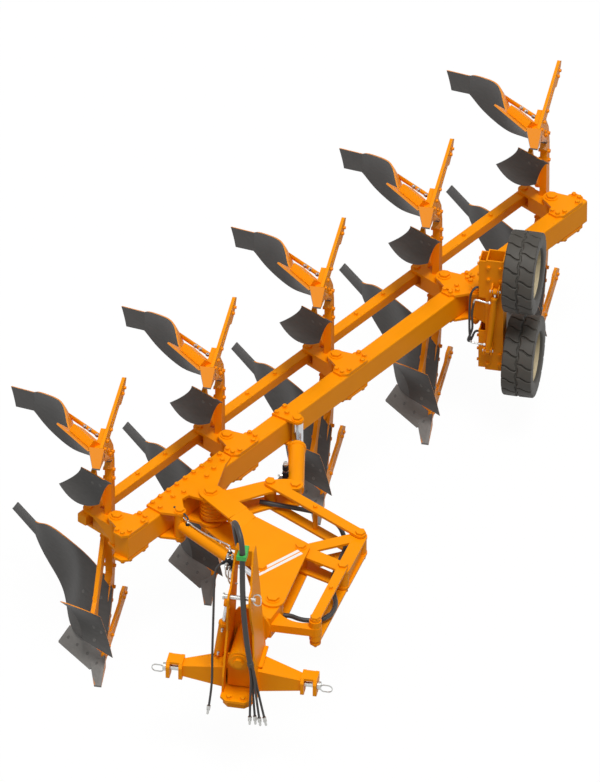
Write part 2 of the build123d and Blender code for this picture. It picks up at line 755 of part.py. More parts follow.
# Share: a flat blade at 45 degrees that meets the board, with a pointed nose at its landside end
share_thick = 12
share_tall = 105.5
blade_long = share_tall * math.sqrt(2)
blade_edge = Vector(-0.735, 0.678, 0).normalized()
blades = [
    Plane(
        base.from_local_coords(Vector(-1271, 790, -axle_height * flip)),
        x_dir=blade_edge, z_dir=blade_edge.cross(Vector(-blade_edge.Y, blade_edge.X, -flip) * -1),
    )
    for flip in (1, -1)
]
with BuildPart() as share_1:
    for blade, flip in zip(blades, (1, -1)):
        with BuildSketch(blade):
            with BuildLine():
                Polyline((-62, blade_long), (-16, 0), (358, 0), (369, 8), (367, blade_long), close=True)
            make_face()
        extrude(amount=share_thick * flip)
        # nose: from the blade's own slope to a blunt chisel edge
        for nose_y, heights in (
            (828, ((-1262, 0), (-1262, 33), (-1164, 99), (-1150, 100), (-1150, 0))),
            (601, ((-1190, 0), (-1190, 12), (-1162, 14), (-1137, 14), (-1137, 0))),
        ):
            across = Plane(base.from_local_coords((0, nose_y, -axle_height * flip)), x_dir=(1, 0, 0), z_dir=(0, -1, 0))
            with BuildSketch(across):
                with BuildLine():
                    Polyline(*[(x, tall * flip) for x, tall in heights], close=True)
                make_face()
        loft(ruled=True)
        split(bisect_by=base.offset(-axle_height * flip), keep=Keep.TOP if flip > 0 else Keep.BOTTOM)
    add(board_space.part, mode=Mode.SUBTRACT)
    add(moldboard_1.part, mode=Mode.SUBTRACT)
share_1.part.label = "share_1"

landside_x = -1185
landside_thick = 22
with BuildPart() as landside_1:
    for flip in (1, -1):
        with BuildSketch(Plane(base.from_local_coords((landside_x, 0, 0)), x_dir=(0, 1, 0), z_dir=(1, 0, 0))):
            with BuildLine():
                Polyline(
                    (830.4, -axle_height * flip), (1640, -axle_height * flip), (1690, (40 - axle_height) * flip),
                    (1600, (120 - axle_height) * flip), (1500, (132 - axle_height) * flip),
                    (1440, (95 - axle_height) * flip), (1100, (110 - axle_height) * flip),
                    (1020, (160 - axle_height) * flip), (900, (160 - axle_height) * flip),
                    (830.4, (100 - axle_height) * flip), close=True,
                )
            make_face()
            with Locations((1270, (50 - axle_height) * flip)):
                SlotOverall(190, 26, mode=Mode.SUBTRACT)
        extrude(amount=landside_thick)
    add(board_space.part, mode=Mode.SUBTRACT)
    add(moldboard_1.part, mode=Mode.SUBTRACT)
    add(share_1.part, mode=Mode.SUBTRACT)
landside_1.part.label = "landside_1"

leg_x = -1235
leg_thick = 50
arm_half = 64
fork_gap = 2
tie_half = 40
tie_pin_radius = 16
strut_radius = 15
frog_thick = 60
with BuildPart() as leg_1:
    with BuildSketch(beam_frame.offset(-arm_half)):
        with Locations((unit_first, pivot_offset)):
            Circle(knuckle_radius)
        with Locations((unit_first, tie_offset)):
            Circle(44)
        make_hull()
    extrude(amount=2 * arm_half)
    with BuildSketch(beam_frame.offset(-half_tall + play)):
        with Locations((unit_first, pivot_offset)):
            Circle(knuckle_radius)
    extrude(amount=beam_tall - 2 * play)
    with BuildSketch(beam_frame.offset(-tie_half - fork_gap)):
        with Locations((unit_first, tie_offset)):
            Circle(92)
    extrude(amount=2 * (tie_half + fork_gap), mode=Mode.SUBTRACT)
    side_view = Plane(base.from_local_coords((leg_x, 0, 0)), x_dir=(0, 1, 0), z_dir=(1, 0, 0))
    for flip in (1, -1):
        with BuildSketch(side_view):
            with BuildLine():
                Polyline(
                    (1232, 0), (1240, (620 - axle_height) * flip), (1252, (530 - axle_height) * flip),
                    (1165, (460 - axle_height) * flip), (1060, (360 - axle_height) * flip),
                    (900, (220 - axle_height) * flip), (878, (130 - axle_height) * flip),
                    (852, (65 - axle_height) * flip), (1130, (65 - axle_height) * flip),
                    (1200, (200 - axle_height) * flip), (1318, (360 - axle_height) * flip),
                    (1358, (520 - axle_height) * flip), (1362, 0), close=True,
                )
            make_face()
    extrude(amount=leg_thick)
    for blade, flip in zip(blades, (1, -1)):
        # frog behind the joint of share and board, then the struts to the board
        with BuildSketch(blade.offset((share_thick + fit_gap) * flip)):
            with BuildLine():
                Polyline((60, 80), (300, 80), (286, 190), (60, 190), close=True)
            make_face()
        extrude(amount=frog_thick * flip)
        for start, end in (
            ((-1215, 1310, 420), (-1612, 1552, 357)),
            ((-1215, 1110, 140), (-1560, 1420, 200)),
        ):
            start_at = base.from_local_coords(Vector(start[0], start[1], (start[2] - axle_height) * flip))
            end_at = base.from_local_coords(Vector(end[0], end[1], (end[2] - axle_height) * flip))
            with BuildSketch(Plane(start_at, z_dir=end_at - start_at)):
                Circle(strut_radius)
            extrude(amount=(end_at - start_at).length)
    add(board_space.part, mode=Mode.SUBTRACT)
    add(moldboard_1.part, mode=Mode.SUBTRACT)
    add(share_1.part, mode=Mode.SUBTRACT)
    for flip in (1, -1):
        # skimmer arm beside the leg
        with BuildSketch(side_view):
            with BuildLine():
                Polyline(
                    (1242, -130 * flip), (1340, -130 * flip), (1335, -250 * flip),
                    (1010, (440 - axle_height) * flip), (960, (290 - axle_height) * flip),
                    (780, (290 - axle_height) * flip), (780, (420 - axle_height) * flip),
                    (930, (500 - axle_height) * flip), close=True,
                )
            make_face()
        extrude(amount=-30)
    add(skim_space.part, mode=Mode.SUBTRACT)
    with Locations(beam_frame.location):
        with Locations((unit_first, pivot_offset)):
            Hole(leg_pin_radius + pin_gap)
        with Locations((unit_first, tie_offset)):
            Hole(tie_pin_radius + pin_gap)
leg_1.part.label = "leg_1"

unit_step = beam_frame.x_dir * unit_pitch
for unit in range(unit_count):
    for piece, name in (
        (moldboard_1, "moldboard"), (share_1, "share"), (landside_1, "landside"),
        (skimmer_1, "skimmer"), (leg_1, "leg"),
    ):
        with BuildPart() as copy:
            with Locations(unit_step * unit):
                add(piece.part)
        copy.part.label = f"{name}_{unit + 1}"
        export_step(copy.part, f"parts/{name}_{unit + 1}.step")

# Tie bar that keeps the legs parallel
tie_wall = 12
tie_last = unit_first + (unit_count - 1) * unit_pitch
tie_start = Plane(
    beam_frame.from_local_coords((unit_first - 75, tie_offset, 0)),
    x_dir=beam_frame.y_dir, z_dir=beam_frame.x_dir,
)
with BuildPart() as tie_bar:
    with BuildSketch(tie_start):
        Rectangle(2 * tie_half, 2 * tie_half)
        fillet(vertices(), 8)
        offset(amount=-tie_wall, mode=Mode.SUBTRACT)
    extrude(amount=tie_last - unit_first + 150)
    for unit in range(unit_count):
        spot = (unit_first + unit * unit_pitch, tie_offset)
        with BuildSketch(beam_frame.offset(-arm_half - 2)):
            with Locations(spot):
                Circle(tie_pin_radius)
        extrude(amount=2 * arm_half + 4)
        for side in (1, -1):
            with BuildSketch(beam_frame.offset(side * (arm_half + fit_gap))):
                with Locations(spot):
                    RegularPolygon(tie_pin_radius * 1.6, 6)
            extrude(amount=side * 14)
tie_bar.part.label = "tie_bar"
export_step(tie_bar.part, "parts/tie_bar.step")

# Wheel post with stub axles
post_box = (985, 1115, 4045, 4180)
post_half = 500
post_wall = 10
post_middle = ((post_box[0] + post_box[1]) / 2, (post_box[2] + post_box[3]) / 2)
with BuildPart() as wheel_post:
    with BuildSketch(base.offset(-post_half)):
        with Locations(post_middle):
            Rectangle(post_box[1] - post_box[0], post_box[3] - post_box[2])
            Rectangle(
                post_box[1] - post_box[0] - 2 * post_wall, post_box[3] - post_box[2] - 2 * post_wall,
                mode=Mode.SUBTRACT,
            )
    extrude(amount=2 * post_half)
    with BuildSketch(base.offset(-half_tall + play)):
        with Locations(post_pivot):
            Circle(54)
        with BuildLine():
            Polyline(
                (post_pivot[0], post_pivot[1] + 50), (post_box[0] + 2, post_box[3]), (post_box[0] + 2, post_box[2] + 20),
                (post_pivot[0], post_pivot[1] - 50), close=True,
            )
        make_face()
        with Locations(post_pivot):
            Circle(post_pin_radius + pin_gap, mode=Mode.SUBTRACT)
    extrude(amount=beam_tall - 2 * play)
    for side in (1, -1):
        stub = Plane(
            base.from_local_coords((post_box[1] - 4, wheel_at[1], side * wheel_height)),
            x_dir=(0, 1, 0), z_dir=(1, 0, 0),
        )
        with BuildSketch(stub):
            Circle(stub_radius + 22)
        extrude(amount=14)
        with BuildSketch(stub):
            Circle(stub_radius)
        extrude(amount=wheel_at[0] + 40 - post_box[1])
wheel_post.part.label = "wheel_post"
export_step(wheel_post.part, "parts/wheel_post.step")

# Industrial tyre with two staggered rows of blocks, on a dished rim
wheel_axis = Plane(
    base.from_local_coords((wheel_at[0], wheel_at[1], -wheel_height)), x_dir=(0, 0, 1), z_dir=(0, -1, 0)
)
half_width = tyre_width / 2
tread_radius = tyre_radius - lug_tall
tread_thick = 14
rim_wall = 7
with BuildPart() as tyre_lower:
    with BuildSketch(wheel_axis):
        with BuildLine():
            Polyline(
                (rim_radius + 0.3, -half_width + 25), (rim_radius + 12, -half_width + 8), (245, -half_width),
                (tread_radius - 12, -half_width + 4), (tread_radius, -half_width + 18),
                (tread_radius, half_width - 18), (tread_radius - 12, half_width - 4), (245, half_width),
                (rim_radius + 12, half_width - 8), (rim_radius + 0.3, half_width - 25),
                (rim_radius + 0.3, half_width - 44), (rim_radius + 20, half_width - 21), (245, half_width - 13),
                (tread_radius - 22, half_width - 17), (tread_radius - tread_thick, half_width - 32),
                (tread_radius - tread_thick, 32 - half_width), (tread_radius - 22, 17 - half_width),
                (245, 13 - half_width), (rim_radius + 20, 21 - half_width), (rim_radius + 0.3, 44 - half_width),
                close=True,
            )
        make_face()
    revolve(axis=Axis(wheel_axis.origin, (1, 0, 0)))
    for row in (1, -1):
        for lug in range(lug_count):
            turn = (lug + (0.5 if row > 0 else 0)) * 360 / lug_count
            outward = Vector(0, 1, 0).rotate(Axis.X, turn)
            lug_plane = Plane(
                wheel_axis.origin + outward * (tread_radius - 6) + Vector(row * half_width / 2, 0, 0),
                x_dir=(1, 0, 0), z_dir=outward,
            )
            with BuildSketch(lug_plane):
                with BuildLine():
                    Polyline(
                        (-half_width / 2 + 7, -16), (half_width / 2 - 6, -28), (half_width / 2 - 6, 28),
                        (-half_width / 2 + 7, 34), close=True,
                    )
                make_face()
            extrude(amount=lug_tall + 5)
tyre_lower.part.label = "tyre_lower"
export_step(tyre_lower.part, "parts/tyre_lower.step")

hub_gap = 0.4
with BuildPart() as rim_lower:
    with BuildSketch(wheel_axis):
        with BuildLine():
            Polyline(
                (rim_radius, -half_width + 25), (rim_radius, half_width - 25), (rim_radius - rim_wall, half_width - 25),
                (rim_radius - rim_wall - 6, 30), (120, 18), (70, 40), (stub_radius + hub_gap, 40),
                (stub_radius + hub_gap, -60), (60, -60), (60, 4), (120, 4), (rim_radius - rim_wall - 6, 12),
                (rim_radius - rim_wall, -half_width + 25), close=True,
            )
        make_face()
    revolve(axis=Axis(wheel_axis.origin, (1, 0, 0)))
rim_lower.part.label = "rim_lower"
export_step(rim_lower.part, "parts/rim_lower.step")

for piece, name in ((tyre_lower, "tyre_upper"), (rim_lower, "rim_upper")):
    with BuildPart() as copy:
        with Locations((0, 0, 2 * wheel_height)):
            add(piece.part)
    copy.part.label = name
    export_step(copy.part, f"parts/{name}.step")

# Cylinders of the linkage: barrel with its eye, then rod with its eye
width_from = base.from_local_coords(Vector(rear_lever_end[0], rear_lever_end[1], 0))
width_to = base.from_local_coords(Vector(cylinder_clamp[0], cylinder_clamp[1], 0))
width_line = Plane(width_from, z_dir=width_to - width_from)
width_long = (width_to - width_from).length
with BuildPart() as width_barrel:
    with BuildSketch(width_line.offset(36)):
        Circle(60)
        Circle(31, mode=Mode.SUBTRACT)
    extrude(amount=470)
    with BuildSketch(width_line.offset(36)):
        Circle(60)
    extrude(amount=40)
    with BuildSketch(base.offset(-lever_inner + play)):
        with Locations(rear_lever_end):
            Circle(42)
    extrude(amount=2 * (lever_inner - play))
    with Locations(base.location):
        with Locations(rear_lever_end):
            Hole(leg_pin_radius + pin_gap)
width_barrel.part.label = "width_barrel"
export_step(width_barrel.part, "parts/width_barrel.step")

with BuildPart() as width_rod:
    with BuildSketch(width_line.offset(240)):
        Circle(30)
    extrude(amount=width_long - 240 - 20)
    with BuildSketch(base.offset(-half_tall + play)):
        with Locations(cylinder_clamp):
            Circle(42)
    extrude(amount=beam_tall - 2 * play)
width_rod.part.label = "width_rod"
export_step(width_rod.part, "parts/width_rod.step")

offset_from = base.from_local_coords(Vector(beam_ear[0], beam_ear[1], 0))
offset_to = base.from_local_coords(Vector(carrier_bolt[0], carrier_bolt[1], 0))
offset_line = Plane(offset_from, z_dir=offset_to - offset_from)
offset_long = (offset_to - offset_from).length
with BuildPart() as offset_barrel:
    with BuildSketch(offset_line.offset(30)):
        Circle(46)
        Circle(26, mode=Mode.SUBTRACT)
    extrude(amount=550)
    with BuildSketch(offset_line.offset(30)):
        Circle(46)
    extrude(amount=40)
    with BuildSketch(base.offset(-half_tall + play)):
        with Locations(beam_ear):
            Circle(40)
    extrude(amount=beam_tall - 2 * play)
    with Locations(base.location):
        with Locations(beam_ear):
            Hole(ear_pin_radius + pin_gap)
offset_barrel.part.label = "offset_barrel"
export_step(offset_barrel.part, "parts/offset_barrel.step")

with BuildPart() as offset_rod:
    with BuildSketch(offset_line.offset(300)):
        Circle(25)
    extrude(amount=offset_long - 300 - 20)
    with BuildSketch(base.offset(-carrier_inner + play)):
        with Locations(carrier_bolt):
            Circle(44)
    extrude(amount=2 * (carrier_inner - play))
    with Locations(base.location):
        with Locations(carrier_bolt):
            Hole(leg_pin_radius + pin_gap)
offset_rod.part.label = "offset_rod"
export_step(offset_rod.part, "parts/offset_rod.step")

# Turnover cylinder beside the tower
turn_foot = base.from_local_coords(Vector(-188, 110, -131))
turn_eye = base.from_local_coords(Vector(-126, 120, 330))
turn_line = Plane(turn_foot, z_dir=turn_eye - turn_foot)
turn_long = (turn_eye - turn_foot).length
with BuildPart() as turnover_cylinder:
    with BuildSketch(turn_line):
        Circle(36)
    extrude(amount=290)
    with BuildSketch(turn_line.offset(290)):
        Circle(17)
    extrude(amount=turn_long - 290)
    with BuildSketch(Plane(turn_eye + Vector(28.8, 0, 0), x_dir=(0, 1, 0), z_dir=(-1, 0, 0))):
        Circle(28)
    extrude(amount=52)
turnover_cylinder.part.label = "turnover_cylinder"
export_step(turnover_cylinder.part, "parts/turnover_cylinder.step")

with BuildPart() as valve_block:
    with BuildSketch(base.offset(600)):
        with Locations((-80.95, 182)):
            Rectangle(72, 62, align=(Align.MAX, Align.CENTER))
    extrude(amount=82)
    elbow_start = base.from_local_coords(Vector(-140, 184.6, 658))
    elbow_end = base.from_local_coords(Vector(-176, 179.6, 633))
    with BuildSketch(Plane(elbow_start, z_dir=elbow_end - elbow_start)):
        Circle(12)
    extrude(amount=(elbow_end - elbow_start).length)
valve_block.part.label = "valve_block"
export_step(valve_block.part, "parts/valve_block.step")

# Free hoses: points of each run, then the radius of each bend
sleeve_radius = 20
hose_radius = 8.5
sleeve_points = (
    (-60, 258, 650), (-54, 258, 977), (-24, 124, 1055), (2, -10, 977), (8, -24, 740), (26, -98, 580),
    (46, -150, 420), (78, -180, 150), (98, -176, 30),
)
single_points = (
    (-176.2, 179.5, 632.8), (-208, 175, 610.8), (-226, 148, 540), (-208, 20, 290), (-196, -92, 0),
    (-192, -112, -250), (-212, -140, -420),
)
tail_ends = (98, 132, 166, 200)
hose_runs = [single_points]
sleeve_end = Vector(*sleeve_points[-1])
sleeve_heading = (sleeve_end - Vector(*sleeve_points[-2])).normalized()
sleeve_face = Plane(sleeve_end + sleeve_heading * 0.2, x_dir=(1, 0, 0), z_dir=sleeve_heading)
for index, end_x in enumerate(tail_ends):
    spot = sleeve_face.from_local_coords(Vector(9 if index > 1 else -9, -9 if index % 2 else 9, 0))
    below = spot + sleeve_heading * 90
    hose_runs.append(
        (
            tuple(spot), tuple(below),
            ((below.X + end_x) / 2, -214 + 20 * (index % 2), -230), (end_x, -216 + 12 * (index % 2), -410),
        )
    )
bend_share = 0.45
with BuildPart() as hose_sleeve:
    route = [Vector(*base.from_local_coords(point)) for point in sleeve_points]
    bends = []
    for before, corner, after in zip(route, route[1:], route[2:]):
        turn = math.radians((corner - before).get_angle(after - corner))
        short = min((corner - before).length, (after - corner).length)
        bends.append(bend_share * short / math.tan(turn / 2))
    print("sleeve bends", [round(bend) for bend in bends])
    with BuildLine() as path:
        FilletPolyline(*route, radius=bends)
    with BuildSketch(Plane(path.line @ 0, z_dir=path.line % 0)):
        Circle(sleeve_radius)
    sweep(path=path.line)
hose_sleeve.part.label = "hose_sleeve"
export_step(hose_sleeve.part, "parts/hose_sleeve.step")

coupler_ends = []
with BuildPart() as hose_lines:
    for points in hose_runs:
        route = [Vector(*base.from_local_coords(point)) for point in points]
        bends = []
        for before, corner, after in zip(route, route[1:], route[2:]):
            turn = math.radians((corner - before).get_angle(after - corner))
            short = min((corner - before).length, (after - corner).length)
            bends.append(bend_share * short / math.tan(turn / 2))
        print("hose bends", [round(bend) for bend in bends])
        with BuildLine() as path:
            FilletPolyline(*route, radius=bends)
        with BuildSketch(Plane(path.line @ 0, z_dir=path.line % 0)):
            Circle(hose_radius)
        sweep(path=path.line)
        coupler_ends.append((path.line @ 1, path.line % 1))
hose_lines.part.label = "hose_lines"
export_step(hose_lines.part, "parts/hose_lines.step")

with BuildPart() as hose_couplers:
    for spot, heading in coupler_ends:
        with BuildSketch(Plane(spot, z_dir=heading)):
            Circle(13)
        extrude(amount=30)
        with BuildSketch(Plane(spot + heading * 30, z_dir=heading)):
            Circle(9)
        extrude(amount=34)
hose_couplers.part.label = "hose_couplers"
export_step(hose_couplers.part, "parts/hose_couplers.step")

clamp_at = Plane(base.from_local_coords((4.5, -15.6, 880)), x_dir=(1, 0, 0), z_dir=(-6, 14, 237))
with BuildPart() as hose_clamp:
    with BuildSketch(clamp_at):
        with Locations((0, 10)):
            Rectangle(70, 80)
        Circle(sleeve_radius + 0.3, mode=Mode.SUBTRACT)
    extrude(amount=17, both=True)
    with BuildSketch(base.offset(835.2)):
        with Locations((4, 78)):
            Rectangle(50, 100)
    extrude(amount=31)
hose_clamp.part.label = "hose_clamp"
export_step(hose_clamp.part, "parts/hose_clamp.step")

# Held hose along the linkage, one run on each piece that carries it
held_radius = 17
held_runs = (
    ("hose_rear", ((-205, 1702, -34), (25, 1688, -40), (236, 1668, -40), (398, 1560, -38), (472, 1399, -36))),
    ("hose_middle", ((485, 1348, -33), (492, 1300, -30), (478, 1160, -28), (466, 1010, -30), (466, 905, -34))),
    ("hose_front", ((468, 890, -34), (502, 800, -36), (540, 700, -38), (540, 620, -38), (527, 566, -38))),
    ("hose_head", ((495, 518, -38), (440, 480, -38), (340, 468, -38), (250, 500, -38), (200.1, 495.9, -38))),
)
for name, points in held_runs:
    with BuildPart() as held_hose:
        route = [Vector(*base.from_local_coords(point)) for point in points]
        bends = []
        for before, corner, after in zip(route, route[1:], route[2:]):
            turn = math.radians((corner - before).get_angle(after - corner))
            short = min((corner - before).length, (after - corner).length)
            bends.append(bend_share * short / math.tan(turn / 2))
        with BuildLine() as path:
            FilletPolyline(*route, radius=bends)
        with BuildSketch(Plane(path.line @ 0, z_dir=path.line % 0)):
            Circle(held_radius)
        sweep(path=path.line)
    held_hose.part.label = name
    export_step(held_hose.part, f"parts/{name}.step")
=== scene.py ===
import json
import math
import bmesh
import bpy
import numpy as np
from mathutils.bvhtree import BVHTree
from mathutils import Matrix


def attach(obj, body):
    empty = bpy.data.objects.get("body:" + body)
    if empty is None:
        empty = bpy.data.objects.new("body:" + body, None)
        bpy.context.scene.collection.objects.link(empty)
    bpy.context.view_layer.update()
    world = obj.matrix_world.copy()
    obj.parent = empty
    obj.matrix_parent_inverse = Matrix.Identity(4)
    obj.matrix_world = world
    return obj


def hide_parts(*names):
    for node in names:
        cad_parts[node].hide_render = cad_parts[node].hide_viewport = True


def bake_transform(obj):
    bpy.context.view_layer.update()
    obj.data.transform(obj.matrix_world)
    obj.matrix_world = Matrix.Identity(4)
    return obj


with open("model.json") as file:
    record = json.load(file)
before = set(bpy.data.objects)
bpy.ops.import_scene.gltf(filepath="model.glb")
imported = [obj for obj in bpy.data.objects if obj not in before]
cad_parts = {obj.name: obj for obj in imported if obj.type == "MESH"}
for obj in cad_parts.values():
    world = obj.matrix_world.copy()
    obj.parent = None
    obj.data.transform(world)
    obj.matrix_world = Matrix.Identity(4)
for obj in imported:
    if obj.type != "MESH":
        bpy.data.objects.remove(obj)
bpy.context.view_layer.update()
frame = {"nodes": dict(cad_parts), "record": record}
nodes = frame["nodes"]
print("frame loaded,", len(nodes), "nodes")

# where the hitch line's middle and the beam lie in the frame, in metres
layout = {
    "hitch": (0.2815, -2.9515, 1.0),
    "beamStart": (-1.065, 0.998),
    "beamTurn": math.radians(60.4),
    "unitFirst": 0.110,
    "unitPitch": 1.196,
    "units": 5,
    "axleMm": 1000.0,
    "tieAcross": 400.0,
}
hitch = np.array(layout["hitch"])
beamAlong = np.array([math.cos(layout["beamTurn"]), math.sin(layout["beamTurn"]), 0.0])
beamAcross = np.array([-beamAlong[1], beamAlong[0], 0.0])
beamOrigin = hitch + np.array([*layout["beamStart"], 0.0])
unitStep = beamAlong * layout["unitPitch"]


def linear(code):
    # sRGB hex to linear: the power curve with its straight foot
    part = np.array([int(code[i:i + 2], 16) for i in (1, 3, 5)]) / 255
    value = np.where(part <= 0.04045, part / 12.92, ((part + 0.055) / 1.055) ** 2.4)
    return (*value.tolist(), 1.0)


def addNode(tree, kind, settings=None, links=None):
    # one node, its sockets or fields set, and what feeds it linked in
    made = tree.nodes.new(kind)
    for key, value in (settings or {}).items():
        if isinstance(key, int) or key in made.inputs:
            made.inputs[key].default_value = value
        else:
            setattr(made, key, value)
    for key, source in (links or {}).items():
        tree.links.new(source, made.inputs[key])
    return made


def newMaterial(name):
    material = bpy.data.materials.new(name)
    material.use_nodes = True
    tree = material.node_tree
    return material, tree, tree.nodes["Principled BSDF"]


def hitchPoint(x, y, z):
    # a point from the hitch line's middle, given in millimetres
    return hitch + np.array([x, y, z]) / 1000


def beamPoint(along, across, z):
    # a point on the beam's own grid, given in millimetres
    return beamOrigin + (beamAlong * along + beamAcross * across) / 1000 + np.array([0, 0, z / 1000])


# sprayed machine enamel over steel: even colour, slight orange peel, soft clear gloss
enamel = {"colour": "#FD9C00", "shade": "#F29100", "rough": 0.5, "peelMm": 7.0, "patchMm": 260.0}


def enamelPaint(name, look):
    material, tree, shader = newMaterial(name)
    place = addNode(tree, "ShaderNodeTexCoord")
    patch = addNode(tree, "ShaderNodeTexNoise", {"Scale": 1000 / look["patchMm"], "Detail": 3.0},
                    {"Vector": place.outputs["Object"]})
    mix = addNode(tree, "ShaderNodeMix", {"data_type": "RGBA", 6: linear(look["shade"]),
                                          7: linear(look["colour"])}, {0: patch.outputs["Fac"]})
    tree.links.new(mix.outputs[2], shader.inputs["Base Color"])
    peel = addNode(tree, "ShaderNodeTexNoise", {"Scale": 1000 / look["peelMm"], "Detail": 1.0},
                   {"Vector": place.outputs["Object"]})
    bump = addNode(tree, "ShaderNodeBump", {"Strength": 0.06, "Distance": 0.0008},
                   {"Height": peel.outputs["Fac"]})
    tree.links.new(bump.outputs["Normal"], shader.inputs["Normal"])
    shader.inputs["Roughness"].default_value = look["rough"]
    shader.inputs["Specular IOR Level"].default_value = 0.13
    shader.inputs["Coat Weight"].default_value = 0.03
    shader.inputs["Coat Roughness"].default_value = 0.2
    return material


orangeEnamel = enamelPaint("orangeEnamel", enamel)
rimEnamel = enamelPaint("rimEnamel", {"colour": "#D2C4A4", "shade": "#BEAF8C", "rough": 0.45, "peelMm": 9.0,
                                      "patchMm": 90.0})
whiteEnamel = enamelPaint("whiteEnamel", {"colour": "#F4F3EF", "shade": "#E6E4DF", "rough": 0.4,
                                          "peelMm": 6.0, "patchMm": 80.0})
blackEnamel = enamelPaint("blackEnamel", {"colour": "#26262A", "shade": "#1B1B1E", "rough": 0.4,
                                          "peelMm": 6.0, "patchMm": 60.0})

# rolled plough steel with a thin dark coat on the soil side; the back and edges are enamelled
boardLook = {"dark": "#403E3C", "pale": "#504E4C", "back": "#EE9010", "streakMm": 14.0, "rough": 0.5}
shareLook = {"dark": "#6B6966", "pale": "#7E7B77", "back": "#E4870E", "streakMm": 10.0, "rough": 0.46}


def soilSteel(name, look):
    material, tree, shader = newMaterial(name)
    place = addNode(tree, "ShaderNodeTexCoord")
    stretch = addNode(tree, "ShaderNodeMapping", {"Scale": (0.25, 0.25, 1.0), "Rotation": (0.5, 0.4, 0.78)},
                      {"Vector": place.outputs["Object"]})
    streak = addNode(tree, "ShaderNodeTexNoise", {"Scale": 1000 / look["streakMm"], "Detail": 4.0},
                     {"Vector": stretch.outputs["Vector"]})
    steel = addNode(tree, "ShaderNodeMix", {"data_type": "RGBA", 6: linear(look["dark"]),
                                            7: linear(look["pale"])}, {0: streak.outputs["Fac"]})
    # the soil side is the one that faces forwards, along -Y
    facing = addNode(tree, "ShaderNodeSeparateXYZ", links={0: place.outputs["Normal"]})
    behind = addNode(tree, "ShaderNodeMapRange", {"From Min": -0.22, "From Max": -0.16},
                     {"Value": facing.outputs["Y"]})
    both = addNode(tree, "ShaderNodeMix", {"data_type": "RGBA", 7: linear(look["back"])},
                   {0: behind.outputs["Result"], 6: steel.outputs[2]})
    tree.links.new(both.outputs[2], shader.inputs["Base Color"])
    bump = addNode(tree, "ShaderNodeBump", {"Strength": 0.08, "Distance": 0.0006},
                   {"Height": streak.outputs["Fac"]})
    tree.links.new(bump.outputs["Normal"], shader.inputs["Normal"])
    shader.inputs["Roughness"].default_value = look["rough"]
    shader.inputs["Specular IOR Level"].default_value = 0.35
    return material


boardSteel = soilSteel("darkBoardSteel", boardLook)
shareSteel = soilSteel("shareSteel", shareLook)

# moulded tyre rubber: matt, faintly dusty
rubberLook = {"dark": "#322F2A", "pale": "#444039", "grainMm": 5.0, "dustMm": 70.0}
tyreRubber, tree, shader = newMaterial("tyreRubber")
place = addNode(tree, "ShaderNodeTexCoord")
dust = addNode(tree, "ShaderNodeTexNoise", {"Scale": 1000 / rubberLook["dustMm"], "Detail": 5.0},
               {"Vector": place.outputs["Object"]})
mix = addNode(tree, "ShaderNodeMix", {"data_type": "RGBA", 6: linear(rubberLook["dark"]),
                                      7: linear(rubberLook["pale"])}, {0: dust.outputs["Fac"]})
tree.links.new(mix.outputs[2], shader.inputs["Base Color"])
grain = addNode(tree, "ShaderNodeTexNoise", {"Scale": 1000 / rubberLook["grainMm"]},
                {"Vector": place.outputs["Object"]})
bump = addNode(tree, "ShaderNodeBump", {"Strength": 0.15, "Distance": 0.0008},
               {"Height": grain.outputs["Fac"]})
tree.links.new(bump.outputs["Normal"], shader.inputs["Normal"])
shader.inputs["Roughness"].default_value = 0.62

# extruded hydraulic hose cover: smooth dark rubber with a faint cloth wrap mark
hoseLook = {"dark": "#2C2A28", "pale": "#3B3836", "wrapMm": 6.0}
hoseRubber, tree, shader = newMaterial("hoseRubber")
place = addNode(tree, "ShaderNodeTexCoord")
wrap = addNode(tree, "ShaderNodeTexNoise", {"Scale": 1000 / hoseLook["wrapMm"], "Detail": 2.0},
               {"Vector": place.outputs["Object"]})
mix = addNode(tree, "ShaderNodeMix", {"data_type": "RGBA", 6: linear(hoseLook["dark"]),
                                      7: linear(hoseLook["pale"])}, {0: wrap.outputs["Fac"]})
tree.links.new(mix.outputs[2], shader.inputs["Base Color"])
bump = addNode(tree, "ShaderNodeBump", {"Strength": 0.1, "Distance": 0.0005}, {"Height": wrap.outputs["Fac"]})
tree.links.new(bump.outputs["Normal"], shader.inputs["Normal"])
shader.inputs["Roughness"].default_value = 0.5

# zinc plated steel: bright, finely blotched
zincLook = {"dark": "#A9A9A6", "pale": "#D6D6D2", "spangleMm": 8.0}
zincSteel, tree, shader = newMaterial("zincPlatedSteel")
place = addNode(tree, "ShaderNodeTexCoord")
spangle = addNode(tree, "ShaderNodeTexNoise", {"Scale": 1000 / zincLook["spangleMm"], "Detail": 2.0},
                  {"Vector": place.outputs["Object"]})
mix = addNode(tree, "ShaderNodeMix", {"data_type": "RGBA", 6: linear(zincLook["dark"]),
                                      7: linear(zincLook["pale"])}, {0: spangle.outputs["Fac"]})
tree.links.new(mix.outputs[2], shader.inputs["Base Color"])
rough = addNode(tree, "ShaderNodeMapRange", {"To Min": 0.2, "To Max": 0.38},
                {"Value": spangle.outputs["Fac"]})
tree.links.new(rough.outputs["Result"], shader.inputs["Roughness"])
shader.inputs["Metallic"].default_value = 0.9

# hard chrome on piston rods: ground round, so fine rings along the rod show as a soft spread
chromeRod, tree, shader = newMaterial("hardChromeRod")
place = addNode(tree, "ShaderNodeTexCoord")
ground = addNode(tree, "ShaderNodeTexNoise", {"Scale": 180.0}, {"Vector": place.outputs["Object"]})
rough = addNode(tree, "ShaderNodeMapRange", {"To Min": 0.1, "To Max": 0.2}, {"Value": ground.outputs["Fac"]})
tree.links.new(rough.outputs["Result"], shader.inputs["Roughness"])
shader.inputs["Base Color"].default_value = linear("#C9C9CB")
shader.inputs["Metallic"].default_value = 1.0

